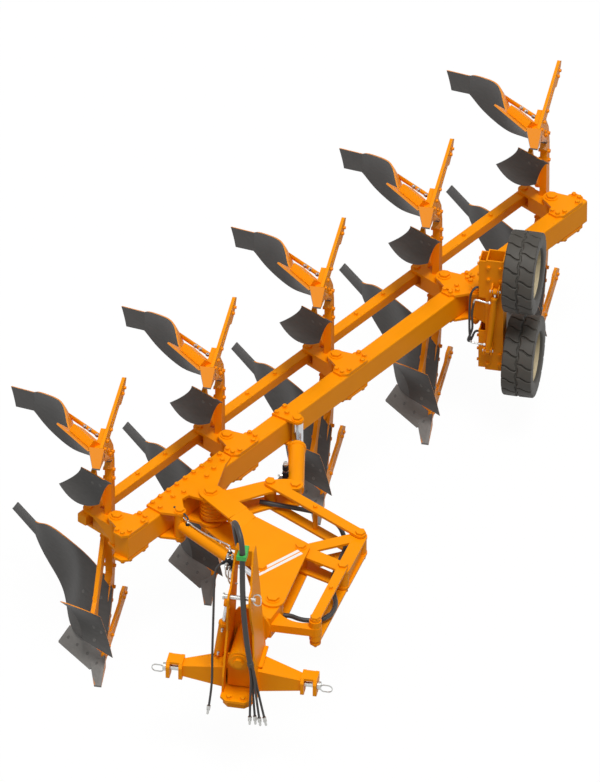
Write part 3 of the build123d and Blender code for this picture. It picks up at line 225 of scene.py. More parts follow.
# forged plough bolts, oiled dark: slightly brighter than the board where the head is worn
boltSteel, tree, shader = newMaterial("darkBoltSteel")
place = addNode(tree, "ShaderNodeTexCoord")
scale = addNode(tree, "ShaderNodeTexNoise", {"Scale": 1000 / 5.0, "Detail": 3.0},
                {"Vector": place.outputs["Object"]})
mix = addNode(tree, "ShaderNodeMix", {"data_type": "RGBA", 6: linear("#4A4845"), 7: linear("#64615D")},
              {0: scale.outputs["Fac"]})
tree.links.new(mix.outputs[2], shader.inputs["Base Color"])
shader.inputs["Roughness"].default_value = 0.45
shader.inputs["Metallic"].default_value = 0.2

# moulded nylon clamp: even green, slightly glossy
greenNylon, tree, shader = newMaterial("greenNylon")
place = addNode(tree, "ShaderNodeTexCoord")
cloud = addNode(tree, "ShaderNodeTexNoise", {"Scale": 60.0}, {"Vector": place.outputs["Object"]})
mix = addNode(tree, "ShaderNodeMix", {"data_type": "RGBA", 6: linear("#35A044"), 7: linear("#4ABC57")},
              {0: cloud.outputs["Fac"]})
tree.links.new(mix.outputs[2], shader.inputs["Base Color"])
shader.inputs["Roughness"].default_value = 0.42

finishes = {"orange_paint": orangeEnamel, "board_steel": boardSteel, "share_steel": shareSteel,
            "bright_steel": zincSteel, "rod_chrome": chromeRod, "tyre_rubber": tyreRubber,
            "rim_cream": rimEnamel, "hose_rubber": hoseRubber, "valve_black": blackEnamel,
            "clamp_green": greenNylon}
for entry in frame["record"]["subparts"]:
    mesh = nodes[entry["node"]].data
    mesh.materials.clear()
    mesh.materials.append(finishes[entry["material_slot"]])
print("materials set")


def putMesh(name, points, faces, material, body, smooth=False):
    # points as rows of x, y, z; faces as a list of equal sized index arrays
    mesh = bpy.data.meshes.new(name)
    rows = [row for block in faces for row in block.tolist()]
    mesh.from_pydata(points.tolist(), [], rows)
    mesh.polygons.foreach_set("use_smooth", [smooth] * len(mesh.polygons))
    mesh.materials.append(material)
    mesh.update()
    piece = bpy.data.objects.new(name, mesh)
    bpy.context.scene.collection.objects.link(piece)
    if body:
        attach(piece, body)
    return piece


def crossFrames(normals):
    # two unit vectors square to each normal: cross it with whichever axis lies furthest from it
    guide = np.where(np.abs(normals[:, 2:3]) > 0.9, [[1.0, 0.0, 0.0]], [[0.0, 0.0, 1.0]])
    first = np.cross(guide, normals)
    first /= np.linalg.norm(first, axis=1, keepdims=True)
    return first, np.cross(normals, first)


hexHead = {"washer": (1.12, 1.12, 0.0, 0.0, 0.0), "hex": (0.0, 0.0, 0.86, 0.86, 0.72),
           "height": (-0.05, 0.2, 0.2, 1.0, 1.12)}
flushHead = {"washer": (1.0, 1.0, 0.9, 0.42, 0.34), "hex": (0.0, 0.0, 0.0, 0.0, 0.0),
             "height": (-0.1, 0.05, 0.12, 0.12, 0.02)}


def boltSet(name, body, spots, normals, size, look=hexHead, material=None):
    # each bolt is a profile of radius against height carried round twelve corners:
    # washer rows are round, head rows six sided
    spots = np.asarray(spots, float)
    normals = np.broadcast_to(np.asarray(normals, float), spots.shape)
    corner = np.arange(12) * math.pi / 6
    hexLine = np.cos(math.pi / 6) / np.cos((corner + math.pi / 6) % (math.pi / 3) - math.pi / 6)
    ring = size * (np.array(look["washer"])[:, None] + np.array(look["hex"])[:, None] * hexLine[None, :])
    height = size * np.array(look["height"])
    first, second = crossFrames(normals)
    around = np.cos(corner)[:, None] * first[:, None, :] + np.sin(corner)[:, None] * second[:, None, :]
    points = (spots[:, None, None, :] + height[None, :, None, None] * normals[:, None, None, :]
              + ring[None, :, :, None] * around[:, None, :, :])
    count, rows, sides = points.shape[:3]
    index = np.arange(count * rows * sides).reshape(count, rows, sides)
    nextSide = np.roll(index, -1, axis=2)
    quads = np.stack([index[:, :-1], nextSide[:, :-1], nextSide[:, 1:], index[:, 1:]], -1).reshape(-1, 4)
    caps = np.concatenate([index[:, -1, :], index[:, 0, ::-1]])
    return putMesh(name, points.reshape(-1, 3), [quads, caps], material or orangeEnamel, body)


def smoothPath(knots, steps):
    # uniform Catmull-Rom through the knots: each stretch is a cubic of four neighbours
    knots = np.asarray(knots, float)
    padded = np.vstack([2 * knots[0] - knots[1], knots, 2 * knots[-1] - knots[-2]])
    t = np.linspace(0, 1, steps, endpoint=False)[:, None]
    a, b, c, d = (padded[i:len(padded) - 3 + i][:, None, :] for i in range(4))
    curve = 0.5 * (2 * b + (c - a) * t + (2 * a - 5 * b + 4 * c - d) * t ** 2
                   + (3 * b - a - 3 * c + d) * t ** 3)
    return np.vstack([curve.reshape(-1, 3), knots[-1]])


def tube(name, body, knots, radius, material, steps=6, sides=12):
    # a circle carried along a smooth path; its frame turns about a fixed guide so that it never flips
    path = smoothPath(knots, steps)
    heading = np.gradient(path, axis=0)
    heading /= np.linalg.norm(heading, axis=1, keepdims=True)
    first = np.cross([0.31, 0.47, 0.83], heading)
    first /= np.linalg.norm(first, axis=1, keepdims=True)
    second = np.cross(heading, first)
    corner = np.arange(sides) * 2 * math.pi / sides
    points = path[:, None, :] + radius * (np.cos(corner)[None, :, None] * first[:, None, :]
                                          + np.sin(corner)[None, :, None] * second[:, None, :])
    index = np.arange(len(path) * sides).reshape(len(path), sides)
    nextSide = np.roll(index, -1, axis=1)
    quads = np.stack([index[:-1], nextSide[:-1], nextSide[1:], index[1:]], -1).reshape(-1, 4)
    caps = np.stack([index[0][::-1], index[-1]])
    return putMesh(name, points.reshape(-1, 3), [quads, caps], material, body, smooth=True)


def turned(name, body, start, axis, profile, material, sides=24, sixFrom=None, sixTo=None):
    # a lathe shape: radius against distance along the axis, carried round;
    # rows sixFrom to sixTo are hexagonal
    start, axis = np.asarray(start, float), np.asarray(axis, float)
    axis = axis / np.linalg.norm(axis)
    radius, along = np.asarray(profile, float).T / 1000
    corner = np.arange(sides) * 2 * math.pi / sides
    hexLine = np.cos(math.pi / 6) / np.cos((corner + math.pi / 6) % (math.pi / 3) - math.pi / 6)
    ring = np.repeat(radius[:, None], sides, axis=1)
    if sixFrom is not None:
        ring[sixFrom:sixTo] = radius[sixFrom:sixTo, None] * hexLine[None, :] / math.cos(math.pi / 6)
    first, second = (part[0] for part in crossFrames(axis[None, :]))
    around = np.cos(corner)[:, None] * first + np.sin(corner)[:, None] * second
    points = start + along[:, None, None] * axis + ring[:, :, None] * around[None]
    index = np.arange(len(radius) * sides).reshape(len(radius), sides)
    nextSide = np.roll(index, -1, axis=1)
    quads = np.stack([index[:-1], nextSide[:-1], nextSide[1:], index[1:]], -1).reshape(-1, 4)
    caps = np.stack([index[0][::-1], index[-1]])
    return putMesh(name, points.reshape(-1, 3), [quads, caps], material, body)


def slab(name, body, outline, depth, material):
    # a flat outline, its points in order, carried along one straight line
    outline, depth = np.asarray(outline, float), np.asarray(depth, float)
    edge = np.roll(outline, -1, axis=0)
    middle = np.cross(outline.mean(axis=0), (edge - outline)).sum(axis=0)
    if np.dot(np.cross(outline, edge).sum(axis=0) - middle, depth) < 0:
        outline = outline[::-1]
    count = len(outline)
    points = np.vstack([outline, outline + depth])
    index = np.arange(count)
    following = np.roll(index, -1)
    sidesFaces = np.stack([index, following, following + count, index + count], -1)
    ends = [index[None, ::-1], (index + count)[None]]
    return putMesh(name, points, [sidesFaces, *ends], material, body)


# free hydraulic hoses: the sleeve over the tower, the single line and the four tails,
# as millimetres from the hitch
hoseSizes = {"sleeveRadius": 0.020, "hoseRadius": 0.0085}
sleeveRoute = [(-60, 258, 650), (-112, 246, 965), (-58, 112, 1064), (8, -6, 985), (8, -24, 740),
               (26, -98, 580), (46, -150, 420), (78, -180, 150), (98, -176, 30)]
singleRoute = [(-176.2, 179.5, 632.8), (-208, 175, 610.8), (-226, 148, 540), (-208, 20, 290), (-196, -92, 0),
               (-192, -112, -250), (-212, -140, -420)]
tailRoutes = [
    [(89.15, -184.94, 28.02), (103.94, -181.98, -60.70), (100.97, -214, -230), (98, -216, -410)],
    [(89.15, -166.95, 28.62), (103.94, -163.99, -60.10), (117.97, -194, -230), (132, -204, -410)],
    [(106.91, -185.03, 30.98), (121.70, -182.07, -57.74), (143.85, -214, -230), (166, -216, -410)],
    [(106.91, -167.05, 31.58), (121.70, -164.09, -57.14), (160.85, -194, -230), (200, -204, -410)],
]


def hoseCurve(name, route, radius, node, withPieces=()):
    # one NURBS line with the route's points as its control points, and a round bevel
    places = np.array([hitchPoint(*point) for point in route])
    line = bpy.data.curves.new(name, "CURVE")
    line.dimensions = "3D"
    spline = line.splines.new("NURBS")
    spline.points.add(len(places) - 1)
    spline.points.foreach_set("co", np.column_stack([places, np.ones(len(places))]).ravel())
    spline.order_u = 3
    spline.use_endpoint_u = True
    spline.resolution_u = 12
    line.bevel_depth = radius
    line.bevel_resolution = 4
    line.use_fill_caps = True
    line.materials.append(hoseRubber)
    piece = bpy.data.objects.new(name, line)
    bpy.context.scene.collection.objects.link(piece)
    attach(piece, "headstock")
    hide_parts(node)


def coupler(name, route):
    # a quick coupler on the hose's end: hexagon nut, collar, grooved nose, as radius against length
    last, before = hitchPoint(*route[-1]), hitchPoint(*route[-2])
    piece = turned(name, "headstock", last, last - before,
                   [(9, -9), (12.6, -8), (12.6, 13), (10.6, 15), (10.6, 19), (12.8, 20), (12.8, 30),
                    (8.8, 31), (8.8, 43), (7.2, 45), (7.2, 48), (8.8, 50), (8.8, 58), (7.4, 63), (4.5, 64)],
                   zincSteel, sides=24, sixFrom=1, sixTo=3)
    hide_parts("hose_couplers")
    return piece


# collar where the sleeve ends and the four hoses come out
sleeveEnd = turned("sleeveEnd", "headstock", hitchPoint(*sleeveRoute[-1]),
                   np.subtract(sleeveRoute[-1], sleeveRoute[-2]),
                   [(20, -30), (23, -28), (23.5, -4), (22, 4), (18, 7)], hoseRubber,
                   sides=32)
hoseCurve("sleeveHose", sleeveRoute, hoseSizes["sleeveRadius"], "hose_sleeve", [sleeveEnd])
hoseCurve("singleHose", singleRoute, hoseSizes["hoseRadius"], "hose_lines",
          [coupler("singleCoupler", singleRoute)])
for number, (route, length) in enumerate(zip(tailRoutes, (0.44, 0.443, 0.447, 0.453))):
    hoseCurve(f"tailHose{number + 1}", route, hoseSizes["hoseRadius"], "hose_lines",
              [coupler(f"tailCoupler{number + 1}", route)])
print("hoses hung")

# bolts that hold the plates to the beam, above and below
beamBolts = {"size": 0.020, "plateTop": 120.0, "postAlong": 3723.6, "clampAlong": 1772.6}
unitSpots = [(-122, -20), (-72, -44), (72, -44), (122, -20), (122, 32), (-122, 32)]
gussetSpots = [(385, 42), (470, 44), (560, 44), (650, 44), (740, 44), (830, 44), (920, 44), (1010, 44),
               (1105, 36), (380, -34), (530, -24), (620, -48), (860, -56), (960, -36), (1070, -22)]
postSpots = [(-128, -2), (-60, -6), (60, -6), (92, 0)]
clampSpots = [(-44, 36), (44, 36), (0, -22)]
spots, ways = [], []
for side in (1, -1):
    for unit in range(layout["units"]):
        middle = (layout["unitFirst"] + unit * layout["unitPitch"]) * 1000
        spots += [beamPoint(middle + x, y, side * beamBolts["plateTop"]) for x, y in unitSpots]
    spots += [beamPoint(x, y, side * beamBolts["plateTop"]) for x, y in gussetSpots]
    spots += [beamPoint(beamBolts["postAlong"] + x, y, side * beamBolts["plateTop"]) for x, y in postSpots]
    spots += [beamPoint(beamBolts["clampAlong"] + x, y, side * beamBolts["plateTop"]) for x, y in clampSpots]
    ways += [(0, 0, side)] * (len(spots) - len(ways))
boltSet("beamBolts", "carrier", spots, ways, beamBolts["size"])
tieSpots = [(layout["unitFirst"] + unit * layout["unitPitch"]) * 1000 + step
            for unit in range(layout["units"] - 1) for step in (524, 823)]
places = [beamPoint(along, layout["tieAcross"], side * 40) for side in (1, -1) for along in tieSpots]
boltSet("tieBolts", "tie_bar", places, [(0, 0, side) for side in (1, -1) for along in tieSpots], 0.017)
linkBolts = {"size": 0.017, "top": 106.0, "rear": (226.5, 1545), "front": (506, 681)}
for body, name in (("rear_link", "rear"), ("front_link", "front")):
    places = [hitchPoint(*linkBolts[name], side * linkBolts["top"]) for side in (1, -1)]
    boltSet(name + "LinkBolts", body, places, [(0, 0, 1), (0, 0, -1)], linkBolts["size"])
print("beam and link bolts placed")

# two painted bars across the carrier's top plate
stripe = {"from": (-34, 726), "to": (226, 1032), "wide": 24.0, "apart": 34.0, "top": 106.0, "coat": 0.0007}
start, end = np.array(stripe["from"], float), np.array(stripe["to"], float)
heading = (end - start) / np.linalg.norm(end - start)
cross = np.array([-heading[1], heading[0]])
for number in (0, 1):
    low = start + cross * (number * stripe["apart"] - stripe["apart"] / 2)
    high = end + cross * (number * stripe["apart"] - stripe["apart"] / 2)
    corners = [low, high, high + cross * stripe["wide"], low + cross * stripe["wide"]]
    slab(f"carrierBar{number + 1}", "carrier", [hitchPoint(*spot, stripe["top"]) for spot in corners],
         (0, 0, stripe["coat"]), whiteEnamel)

# ridged hub of the rear lever at the main pivot
hubRings = {"spot": (-527, 1535), "radius": 79.0, "levels": (-46, -14, 18, 50)}
for number, level in enumerate(hubRings["levels"]):
    turned(f"hubRing{number + 1}", "rear_lever", hitchPoint(*hubRings["spot"], level - 6), (0, 0, 1),
           [(71, 0), (hubRings["radius"] - 2, 0), (hubRings["radius"], 2), (hubRings["radius"], 10),
            (hubRings["radius"] - 2, 12), (71, 12)], orangeEnamel, sides=40)
print("carrier bars and hub rings placed")


def fitting(name, body, spot, axis, size):
    # a hydraulic screw fitting: collar, hexagon, neck, as radius against length
    profile = [(size, -2), (size, 3), (size * 1.25, 3), (size * 1.25, 13), (size * 0.8, 15), (size * 0.8, 24),
               (size, 25), (size, 32), (size * 0.7, 34)]
    return turned(name, body, spot, axis, profile, zincSteel, sides=12, sixFrom=2, sixTo=4)


# valve block on the tower: two cartridges on top, three pipe elbows in front
valveLook = {"top": 682.0, "front": 151.0}
for number, x in enumerate((-134, -102)):
    turned(f"valveCartridge{number + 1}", "headstock", hitchPoint(x, 182, valveLook["top"] - 2), (0, 0, 1),
           [(14, 0), (14, 10), (11, 12), (11, 30), (8, 33), (8, 44), (3, 46)], zincSteel,
           sides=18, sixFrom=0, sixTo=2)
for number, (x, z, drop) in enumerate(((-136, 664, 70), (-116, 640, 96), (-97, 616, 60))):
    fitting(f"valveFitting{number + 1}", "headstock", hitchPoint(x, valveLook["front"], z), (0, -1, 0), 9.0)
    route = [(x, 126, z), (x, 112, z - 4), (x, 106, z - 20), (x, 108, z - drop), (x + 14, 120, z - drop - 40),
             (x + 34, 150, z - drop - 66)]
    tube(f"valvePipe{number + 1}", "headstock", [hitchPoint(*spot) for spot in route], 0.006, zincSteel)
print("tower valves placed")

# offset cylinder between beam and carrier: head collar, two ports and the pipe along it
offsetLook = {"foot": (-705, 1306), "eye": (-22, 812)}
foot, eye = (hitchPoint(*offsetLook[key], 0) for key in ("foot", "eye"))
way = (eye - foot) / np.linalg.norm(eye - foot)
turned("offsetCollar", "carrier", foot + way * 0.566, way,
       [(44, 0), (51, 0), (53, 2), (53, 24), (50, 27), (32, 27), (32, 33), (27, 34)], orangeEnamel,
       sides=36)
up = np.array([0, 0, 1.0])
for name, place in (("Foot", 0.085), ("Head", 0.520)):
    turned("offsetPort" + name, "carrier", foot + way * place + up * 0.040, up,
           [(18, 0), (18, 14), (14, 16), (14, 20)], blackEnamel, sides=18)
    fitting("offsetFitting" + name, "carrier", foot + way * place + up * 0.059, up, 8.0)
pipeRoute = [(0.520, 0.092), (0.516, 0.104), (0.490, 0.108), (0.30, 0.070), (0.16, 0.062), (0.06, 0.075),
             (0.02, 0.092)]
hoseRoute = [(0.085, 0.092), (0.080, 0.106), (0.055, 0.117), (-0.01, 0.12), (-0.06, 0.1225)]
tube("offsetPipe", "carrier", [foot + way * along + up * high for along, high in pipeRoute], 0.006, zincSteel)
tube("offsetHose", "carrier", [foot + way * along + up * high for along, high in hoseRoute], 0.0075,
     hoseRubber)

# width cylinder: head collar and the upright valve on its left flank
widthLook = {"foot": (34, 1800), "eye": (-85, 2480)}
foot, eye = (hitchPoint(*widthLook[key], 0) for key in ("foot", "eye"))
way = (eye - foot) / np.linalg.norm(eye - foot)
left = np.array([-way[1], way[0], 0.0])
turned("widthCollar", "width_barrel", foot + way * 0.492, way,
       [(58, 0), (65, 0), (67, 2), (67, 26), (64, 29), (38, 29), (38, 36), (32, 37)], orangeEnamel,
       sides=40)
block = foot + way * 0.15 + left * 0.052
corners = [block, block + way * 0.05, block + way * 0.05 + left * 0.044, block + left * 0.044]
slab("widthValveBlock", "width_barrel", [corner - up * 0.030 for corner in corners], up * 0.09, blackEnamel)
turned("widthValve", "width_barrel", block + way * 0.025 + left * 0.022 + up * 0.058, up,
       [(19, 0), (19, 12), (14, 14), (14, 60), (17, 62), (17, 74), (13, 78), (13, 84), (5, 86)], zincSteel,
       sides=24, sixFrom=0, sixTo=2)
turned("widthValveCoil", "width_barrel", block + way * 0.025 + left * 0.022 + up * 0.076, up,
       [(15, 0), (22, 0), (23, 2), (23, 32), (22, 34), (15, 34)], blackEnamel, sides=30)
fitting("widthFitting", "width_barrel", block + way * 0.025 + left * 0.043 + up * 0.02, left, 8.0)
print("cylinder fittings placed")

# the held hose bends where it crosses a pin: a short straight rubber bridge spans the gap, tied to neither
# side
bridgeLook = {"radius": 0.0176, "rings": 8}
for name, first, second, start, end in (
    ("hoseBridgeRear", "rear_link", "swing_lever", (469, 1405, -36), (486, 1342, -32.6)),
    ("hoseBridgeFront", "front_link", "turn_head", (529, 572, -38), (489, 514, -38)),
):
    ends = np.array([hitchPoint(*start), hitchPoint(*end)])
    knots = ends[0] + (ends[1] - ends[0]) * np.linspace(0, 1, bridgeLook["rings"])[:, None]
    bridge = tube(name, None, knots, bridgeLook["radius"], hoseRubber, steps=2, sides=20)
    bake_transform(bridge)
turned("hoseBand", "front_link", hitchPoint(462, 902, -34), (0.09, -0.995, 0),
       [(17, 0), (19, 1), (19, 16), (17, 17)], zincSteel, sides=28)
print("hose bridges placed")

# turnover cylinder: chrome over its rod and a gland at the barrel's end
turnLook = {"foot": (-188, 110, -131), "eye": (-126, 120, 330)}
foot, eye = (hitchPoint(*turnLook[key]) for key in ("foot", "eye"))
reach = np.linalg.norm(eye - foot) * 1000
turned("turnoverRod", "headstock", foot, eye - foot,
       [(17.1, 291), (17.6, 292), (17.6, reach - 28), (17.1, reach - 27)], chromeRod, sides=32)
turned("turnoverGland", "headstock", foot, eye - foot,
       [(35, 270), (40, 271), (40, 288), (37, 292), (24, 293), (23, 300), (18, 301)], orangeEnamel,
       sides=36)
for name, place in (("Low", 40), ("High", 255)):
    spot = foot + (eye - foot) / reach * place + np.array([0, -0.035, 0])
    fitting("turnoverFitting" + name, "headstock", spot, (0, -1, 0), 8.0)

# base of the tower: two bolts above and two below
baseBolts = {"size": 0.022, "top": -310.0, "under": -390.0}
boltSet("baseBolts", "headstock",
        [hitchPoint(-65, -150, baseBolts["top"]), hitchPoint(35, -150, baseBolts["top"]),
         hitchPoint(-98, -82, baseBolts["under"]), hitchPoint(68, -82, baseBolts["under"])],
        [(0, 0, 1), (0, 0, 1), (0, 0, -1), (0, 0, -1)], baseBolts["size"])
print("tower pieces placed")


def surfaceTree(nodeName):
    # nearest point search over one CAD skin
    mesh = nodes[nodeName].data
    points = np.empty(len(mesh.vertices) * 3)
    mesh.vertices.foreach_get("co", points)
    corners = np.empty(len(mesh.loops), int)
    mesh.loops.foreach_get("vertex_index", corners)
    return BVHTree.FromPolygons(points.reshape(-1, 3).tolist(), corners.reshape(-1, 3).tolist())


def onSkin(skin, guesses):
    # each guess moved to the skin, with the outward normal there
    found = [skin.find_nearest(tuple(guess)) for guess in guesses]
    return np.array([hit[0] for hit in found]), np.array([hit[1] for hit in found])


# plough units: flush bolts on the soil side, hexagon bolts on leg, frog, landside and skimmer arm
unitBolts = {"flush": 0.013, "hex": 0.014, "legHex": 0.017, "legRight": -1185, "legLeft": -1235,
             "arm": -1265, "landside": -1163}
boardSpots = [(-1196, 995, 236), (-1290, 1060, 190), (-1400, 1150, 175), (-1252, 1180, 360),
              (-1400, 1260, 330)]
shareSpots = [(-1210, 812, 78), (-1300, 895, 78), (-1390, 978, 78), (-1470, 1050, 78)]
skimSpots = [(-1180, 815, 330), (-1240, 850, 340), (-1225, 830, 250)]
frogSpots = [(-1255, 990, 120), (-1320, 1050, 120), (-1385, 1110, 120), (-1430, 1150, 120)]
legSpots = [(1290, 560), (1290, 640), (1180, 330), (1110, 240), (1270, 380), (1000, 130)]
armSpots = [(1290, 820), (1296, 760), (1120, 545), (1010, 470)]
landSpots = [(900, 60), (990, 60), (1120, 60), (1540, 66), (1600, 60)]


def bothWays(spots):
    # heights above the furrow bottom, and their mirror twins over the turnover axis
    return [hitchPoint(x, y, (z - layout["axleMm"]) * flip) for flip in (1, -1) for x, y, z in spots]


forward = np.array([-0.012, -0.024, 0.0])
flushSets = []
for name, node, spots in (("board", "moldboard_1", boardSpots), ("share", "share_1", shareSpots),
                          ("skimmer", "skimmer_1", skimSpots)):
    flushSets.append((name, *onSkin(surfaceTree(node), [guess + forward for guess in bothWays(spots)])))
legSkin = surfaceTree("leg_1")
frogPlace, frogWay = onSkin(legSkin, [guess + np.array([0.03, 0.06, 0]) for guess in bothWays(frogSpots)])
legPlace, legWay = [], []
for side, x in ((1, unitBolts["legRight"]), (-1, unitBolts["legLeft"])):
    legPlace += bothWays([(x, y, z) for y, z in legSpots])
    legWay += [(side, 0, 0)] * (2 * len(legSpots))
armPlace = bothWays([(unitBolts["arm"], y, z) for y, z in armSpots])
landPlace = bothWays([(unitBolts["landside"], y, z) for y, z in landSpots])
for unit in range(layout["units"]):
    body, shift = f"leg_{unit + 1}", unitStep * unit
    for name, places, ways in flushSets:
        boltSet(f"{name}Bolts{unit + 1}", body, places + shift, ways, unitBolts["flush"], flushHead,
                boltSteel)
    boltSet(f"frogBolts{unit + 1}", body, frogPlace + shift, frogWay, unitBolts["hex"], hexHead, zincSteel)
    boltSet(f"legBolts{unit + 1}", body, np.array(legPlace) + shift, np.array(legWay, float),
            unitBolts["legHex"])
    boltSet(f"armBolts{unit + 1}", body, np.array(armPlace) + shift, (-1.0, 0, 0), unitBolts["hex"])
    boltSet(f"landsideBolts{unit + 1}", body, np.array(landPlace) + shift, (1.0, 0, 0), unitBolts["hex"])
print("unit bolts placed")

# leg copies without the tips that stand out in front of the share blades, in metres on each blade:
# along its edge, up its slope and ahead of its face
cutLook = {"foot": (-1271, 790), "edge": (-0.735, 0.678, 0), "wide": (-0.09, 0.41), "tall": (-0.01, 0.176),
           "ahead": (-0.014, 0.16)}
cutFaces = np.array([[0, 1, 3, 2], [4, 6, 7, 5], [0, 4, 5, 1], [2, 3, 7, 6], [0, 2, 6, 4], [1, 5, 7, 3]])


def withoutTips(unit):
    # the leg's merged mesh less one box ahead of each blade
    source = nodes[f"leg_{unit}"].data
    work = bmesh.new()
    work.from_mesh(source)
    bmesh.ops.remove_doubles(work, verts=work.verts, dist=1e-5)
    mesh = bpy.data.meshes.new(f"legSteel{unit}")
    work.to_mesh(mesh)
    work.free()
    piece = bpy.data.objects.new(f"legSteel{unit}", mesh)
    bpy.context.scene.collection.objects.link(piece)
    edge = np.array(cutLook["edge"])
    edge = edge / np.linalg.norm(edge)
    cutters = []
    for flip in (1, -1):
        slope = np.array([edge[1], -edge[0], flip]) / math.sqrt(2)
        ahead = np.array([-edge[1], edge[0], flip]) / math.sqrt(2)
        foot = hitchPoint(*cutLook["foot"], -layout["axleMm"] * flip) + unitStep * (unit - 1)
        corners = [foot + edge * wide + slope * tall + ahead * deep
                   for wide in cutLook["wide"] for tall in cutLook["tall"] for deep in cutLook["ahead"]]
        block = bpy.data.meshes.new("cutter")
        block.from_pydata([tuple(corner) for corner in corners], [], cutFaces.tolist())
        shape = bmesh.new()
        shape.from_mesh(block)
        bmesh.ops.recalc_face_normals(shape, faces=shape.faces)
        shape.to_mesh(block)
        shape.free()
        cutter = bpy.data.objects.new("cutter", block)
        bpy.context.scene.collection.objects.link(cutter)
        cut = piece.modifiers.new("cut", "BOOLEAN")
        cut.operation, cut.solver, cut.object = "DIFFERENCE", "EXACT", cutter
        cutters.append(cutter)
    ready = piece.evaluated_get(bpy.context.evaluated_depsgraph_get())
    piece.data = bpy.data.meshes.new_from_object(ready)
    piece.modifiers.clear()
    for cutter in cutters:
        bpy.data.meshes.remove(cutter.data)
    piece.data.materials.clear()
    piece.data.materials.append(orangeEnamel)
    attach(piece, f"leg_{unit}")
    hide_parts(f"leg_{unit}")


for unit in range(layout["units"]):
    withoutTips(unit + 1)
print("legs trimmed")

# plugs in the tie bar's two open ends
tiePlug = {"half": 39.0, "round": 9.0, "ends": (35.0, 4969.0)}
turnOf = np.linspace(0, 2 * math.pi, 24, endpoint=False)
circle = np.stack([np.cos(turnOf), np.sin(turnOf)], -1)
rounded = np.clip(circle * 9, -1, 1) * (tiePlug["half"] - tiePlug["round"]) + circle * tiePlug["round"]
for name, along, depth in (("Front", tiePlug["ends"][0], -0.004), ("Rear", tiePlug["ends"][1], 0.004)):
    slab("tiePlug" + name, "tie_bar", [beamPoint(along, layout["tieAcross"] + a, b) for a, b in rounded],
         beamAlong * depth, orangeEnamel)

# wheel post: adjusting cylinder in front of it, its pipes, hose loops and bolts
postLook = {"low": (1012, 4008, -293), "high": (1063, 4008, 255), "front": 4045.0}
foot, eye = (hitchPoint(*postLook[key]) for key in ("low", "high"))
way = (eye - foot) / np.linalg.norm(eye - foot)
turned("postBarrel", "wheel_post", foot, way,
       [(16, 18), (24, 20), (24, 470), (27, 472), (27, 492), (23, 496), (12, 497)], orangeEnamel,
       sides=32)
turned("postRod", "wheel_post", foot, way, [(11, 480), (11, 530)], chromeRod, sides=24)
for name, spot in (("Low", foot), ("High", eye)):
    turned("postEye" + name, "wheel_post", spot + np.array([-0.016, 0, 0]), (1, 0, 0),
           [(22, 0), (24, 2), (24, 30), (22, 32)], orangeEnamel, sides=28)
    turned("postEyePin" + name, "wheel_post", spot + np.array([-0.040, 0, 0]), (1, 0, 0),
           [(9, 0), (11, 2), (11, 78), (9, 80)], zincSteel, sides=20)
    for side in (-1, 1):
        lug = [spot + np.array([side * 0.026 - 0.005, y, z])
               for y, z in ((-0.022, -0.024), (0.0375, -0.045), (0.0375, 0.045), (-0.022, 0.024))]
        slab(f"postLug{name}{'Left' if side < 0 else 'Right'}", "wheel_post", lug, (0.010, 0, 0),
             orangeEnamel)
for name, place in (("Low", 0.055), ("High", 0.445)):
    fitting("postFitting" + name, "wheel_post", foot + way * place + np.array([-0.023, -0.004, 0]),
            (-1, 0, 0), 8.0)
lowPort, highPort = (foot + way * place + np.array([-0.055, -0.004, 0]) for place in (0.055, 0.445))
pipeRoutes = {
    "Low": lowPort + np.array([(0, 0, 0), (-0.035, 0, 0.001), (-0.066, 0, 0.004), (-0.076, 0, 0.012),
                               (-0.080, 0.002, 0.030)]),
    "High": highPort + np.array([(0, 0, 0), (-0.035, 0, 0.006), (-0.075, 0, 0.012), (-0.088, 0, 0.0),
                                 (-0.092, 0.002, -0.022)]),
}
hoseStarts = {
    "Low": lowPort + np.array([(-0.080, 0.002, 0.026), (-0.086, 0.004, 0.12)]),
    "High": highPort + np.array([(-0.0915, 0.002, -0.018), (-0.105, 0.004, -0.12)]),
}
hoseRests = {
    "Low": [(874, 4018, 60), (880, 4036, 180), (905, 4062, 222), (936, 4078, 222)],
    "High": [(896, 4010, -110), (868, 4000, -206), (884, 4012, -222), (910, 4036, -160), (936, 4064, -168)],
}
for name in ("Low", "High"):
    tube("postPipe" + name, "wheel_post", pipeRoutes[name], 0.007, zincSteel)
for name in ("Low", "High"):
    route = [*hoseStarts[name], *(hitchPoint(*spot) for spot in hoseRests[name])]
    tube("postHose" + name, "wheel_post", route, hoseSizes["hoseRadius"], hoseRubber)
places = [hitchPoint(x, postLook["front"], z) for x in (1006, 1094) for z in (440, 330, -350, -440)]
boltSet("postBolts", "wheel_post", places, (0.0, -1.0, 0), 0.014)
# casing along the post's left side, above and below the pivot's plates: three walls of plate
casing = {"from": 934.0, "to": 984.6, "front": 4050.0, "rear": 4172.0, "plate": 0.009, "inset": 9.5}
for name, low, high in (("Upper", 152, 486), ("Lower", -486, -152)):
    ends = ((casing["from"], low), (casing["to"], low), (casing["to"], high), (casing["from"], high))
    inner = (casing["front"] + casing["inset"], casing["rear"] - casing["inset"])
    flank = ((inner[0], low), (inner[1], low), (inner[1], high), (inner[0], high))
    for wall, outline, depth in (
        ("Front", [(x, casing["front"], z) for x, z in ends], (0, casing["plate"], 0)),
        ("Rear", [(x, casing["rear"], z) for x, z in ends], (0, -casing["plate"], 0)),
        ("Side", [(casing["from"], y, z) for y, z in flank], (casing["plate"], 0, 0)),
    ):
        slab("postCasing" + wall + name, "wheel_post", [hitchPoint(*spot) for spot in outline], depth,
             orangeEnamel)
places = [hitchPoint(casing["from"], y, z) for y in (4080, 4145) for z in (440, 340, 220, -220, -340, -440)]
boltSet("postSideBolts", "wheel_post", places, (-1.0, 0, 0), 0.014)
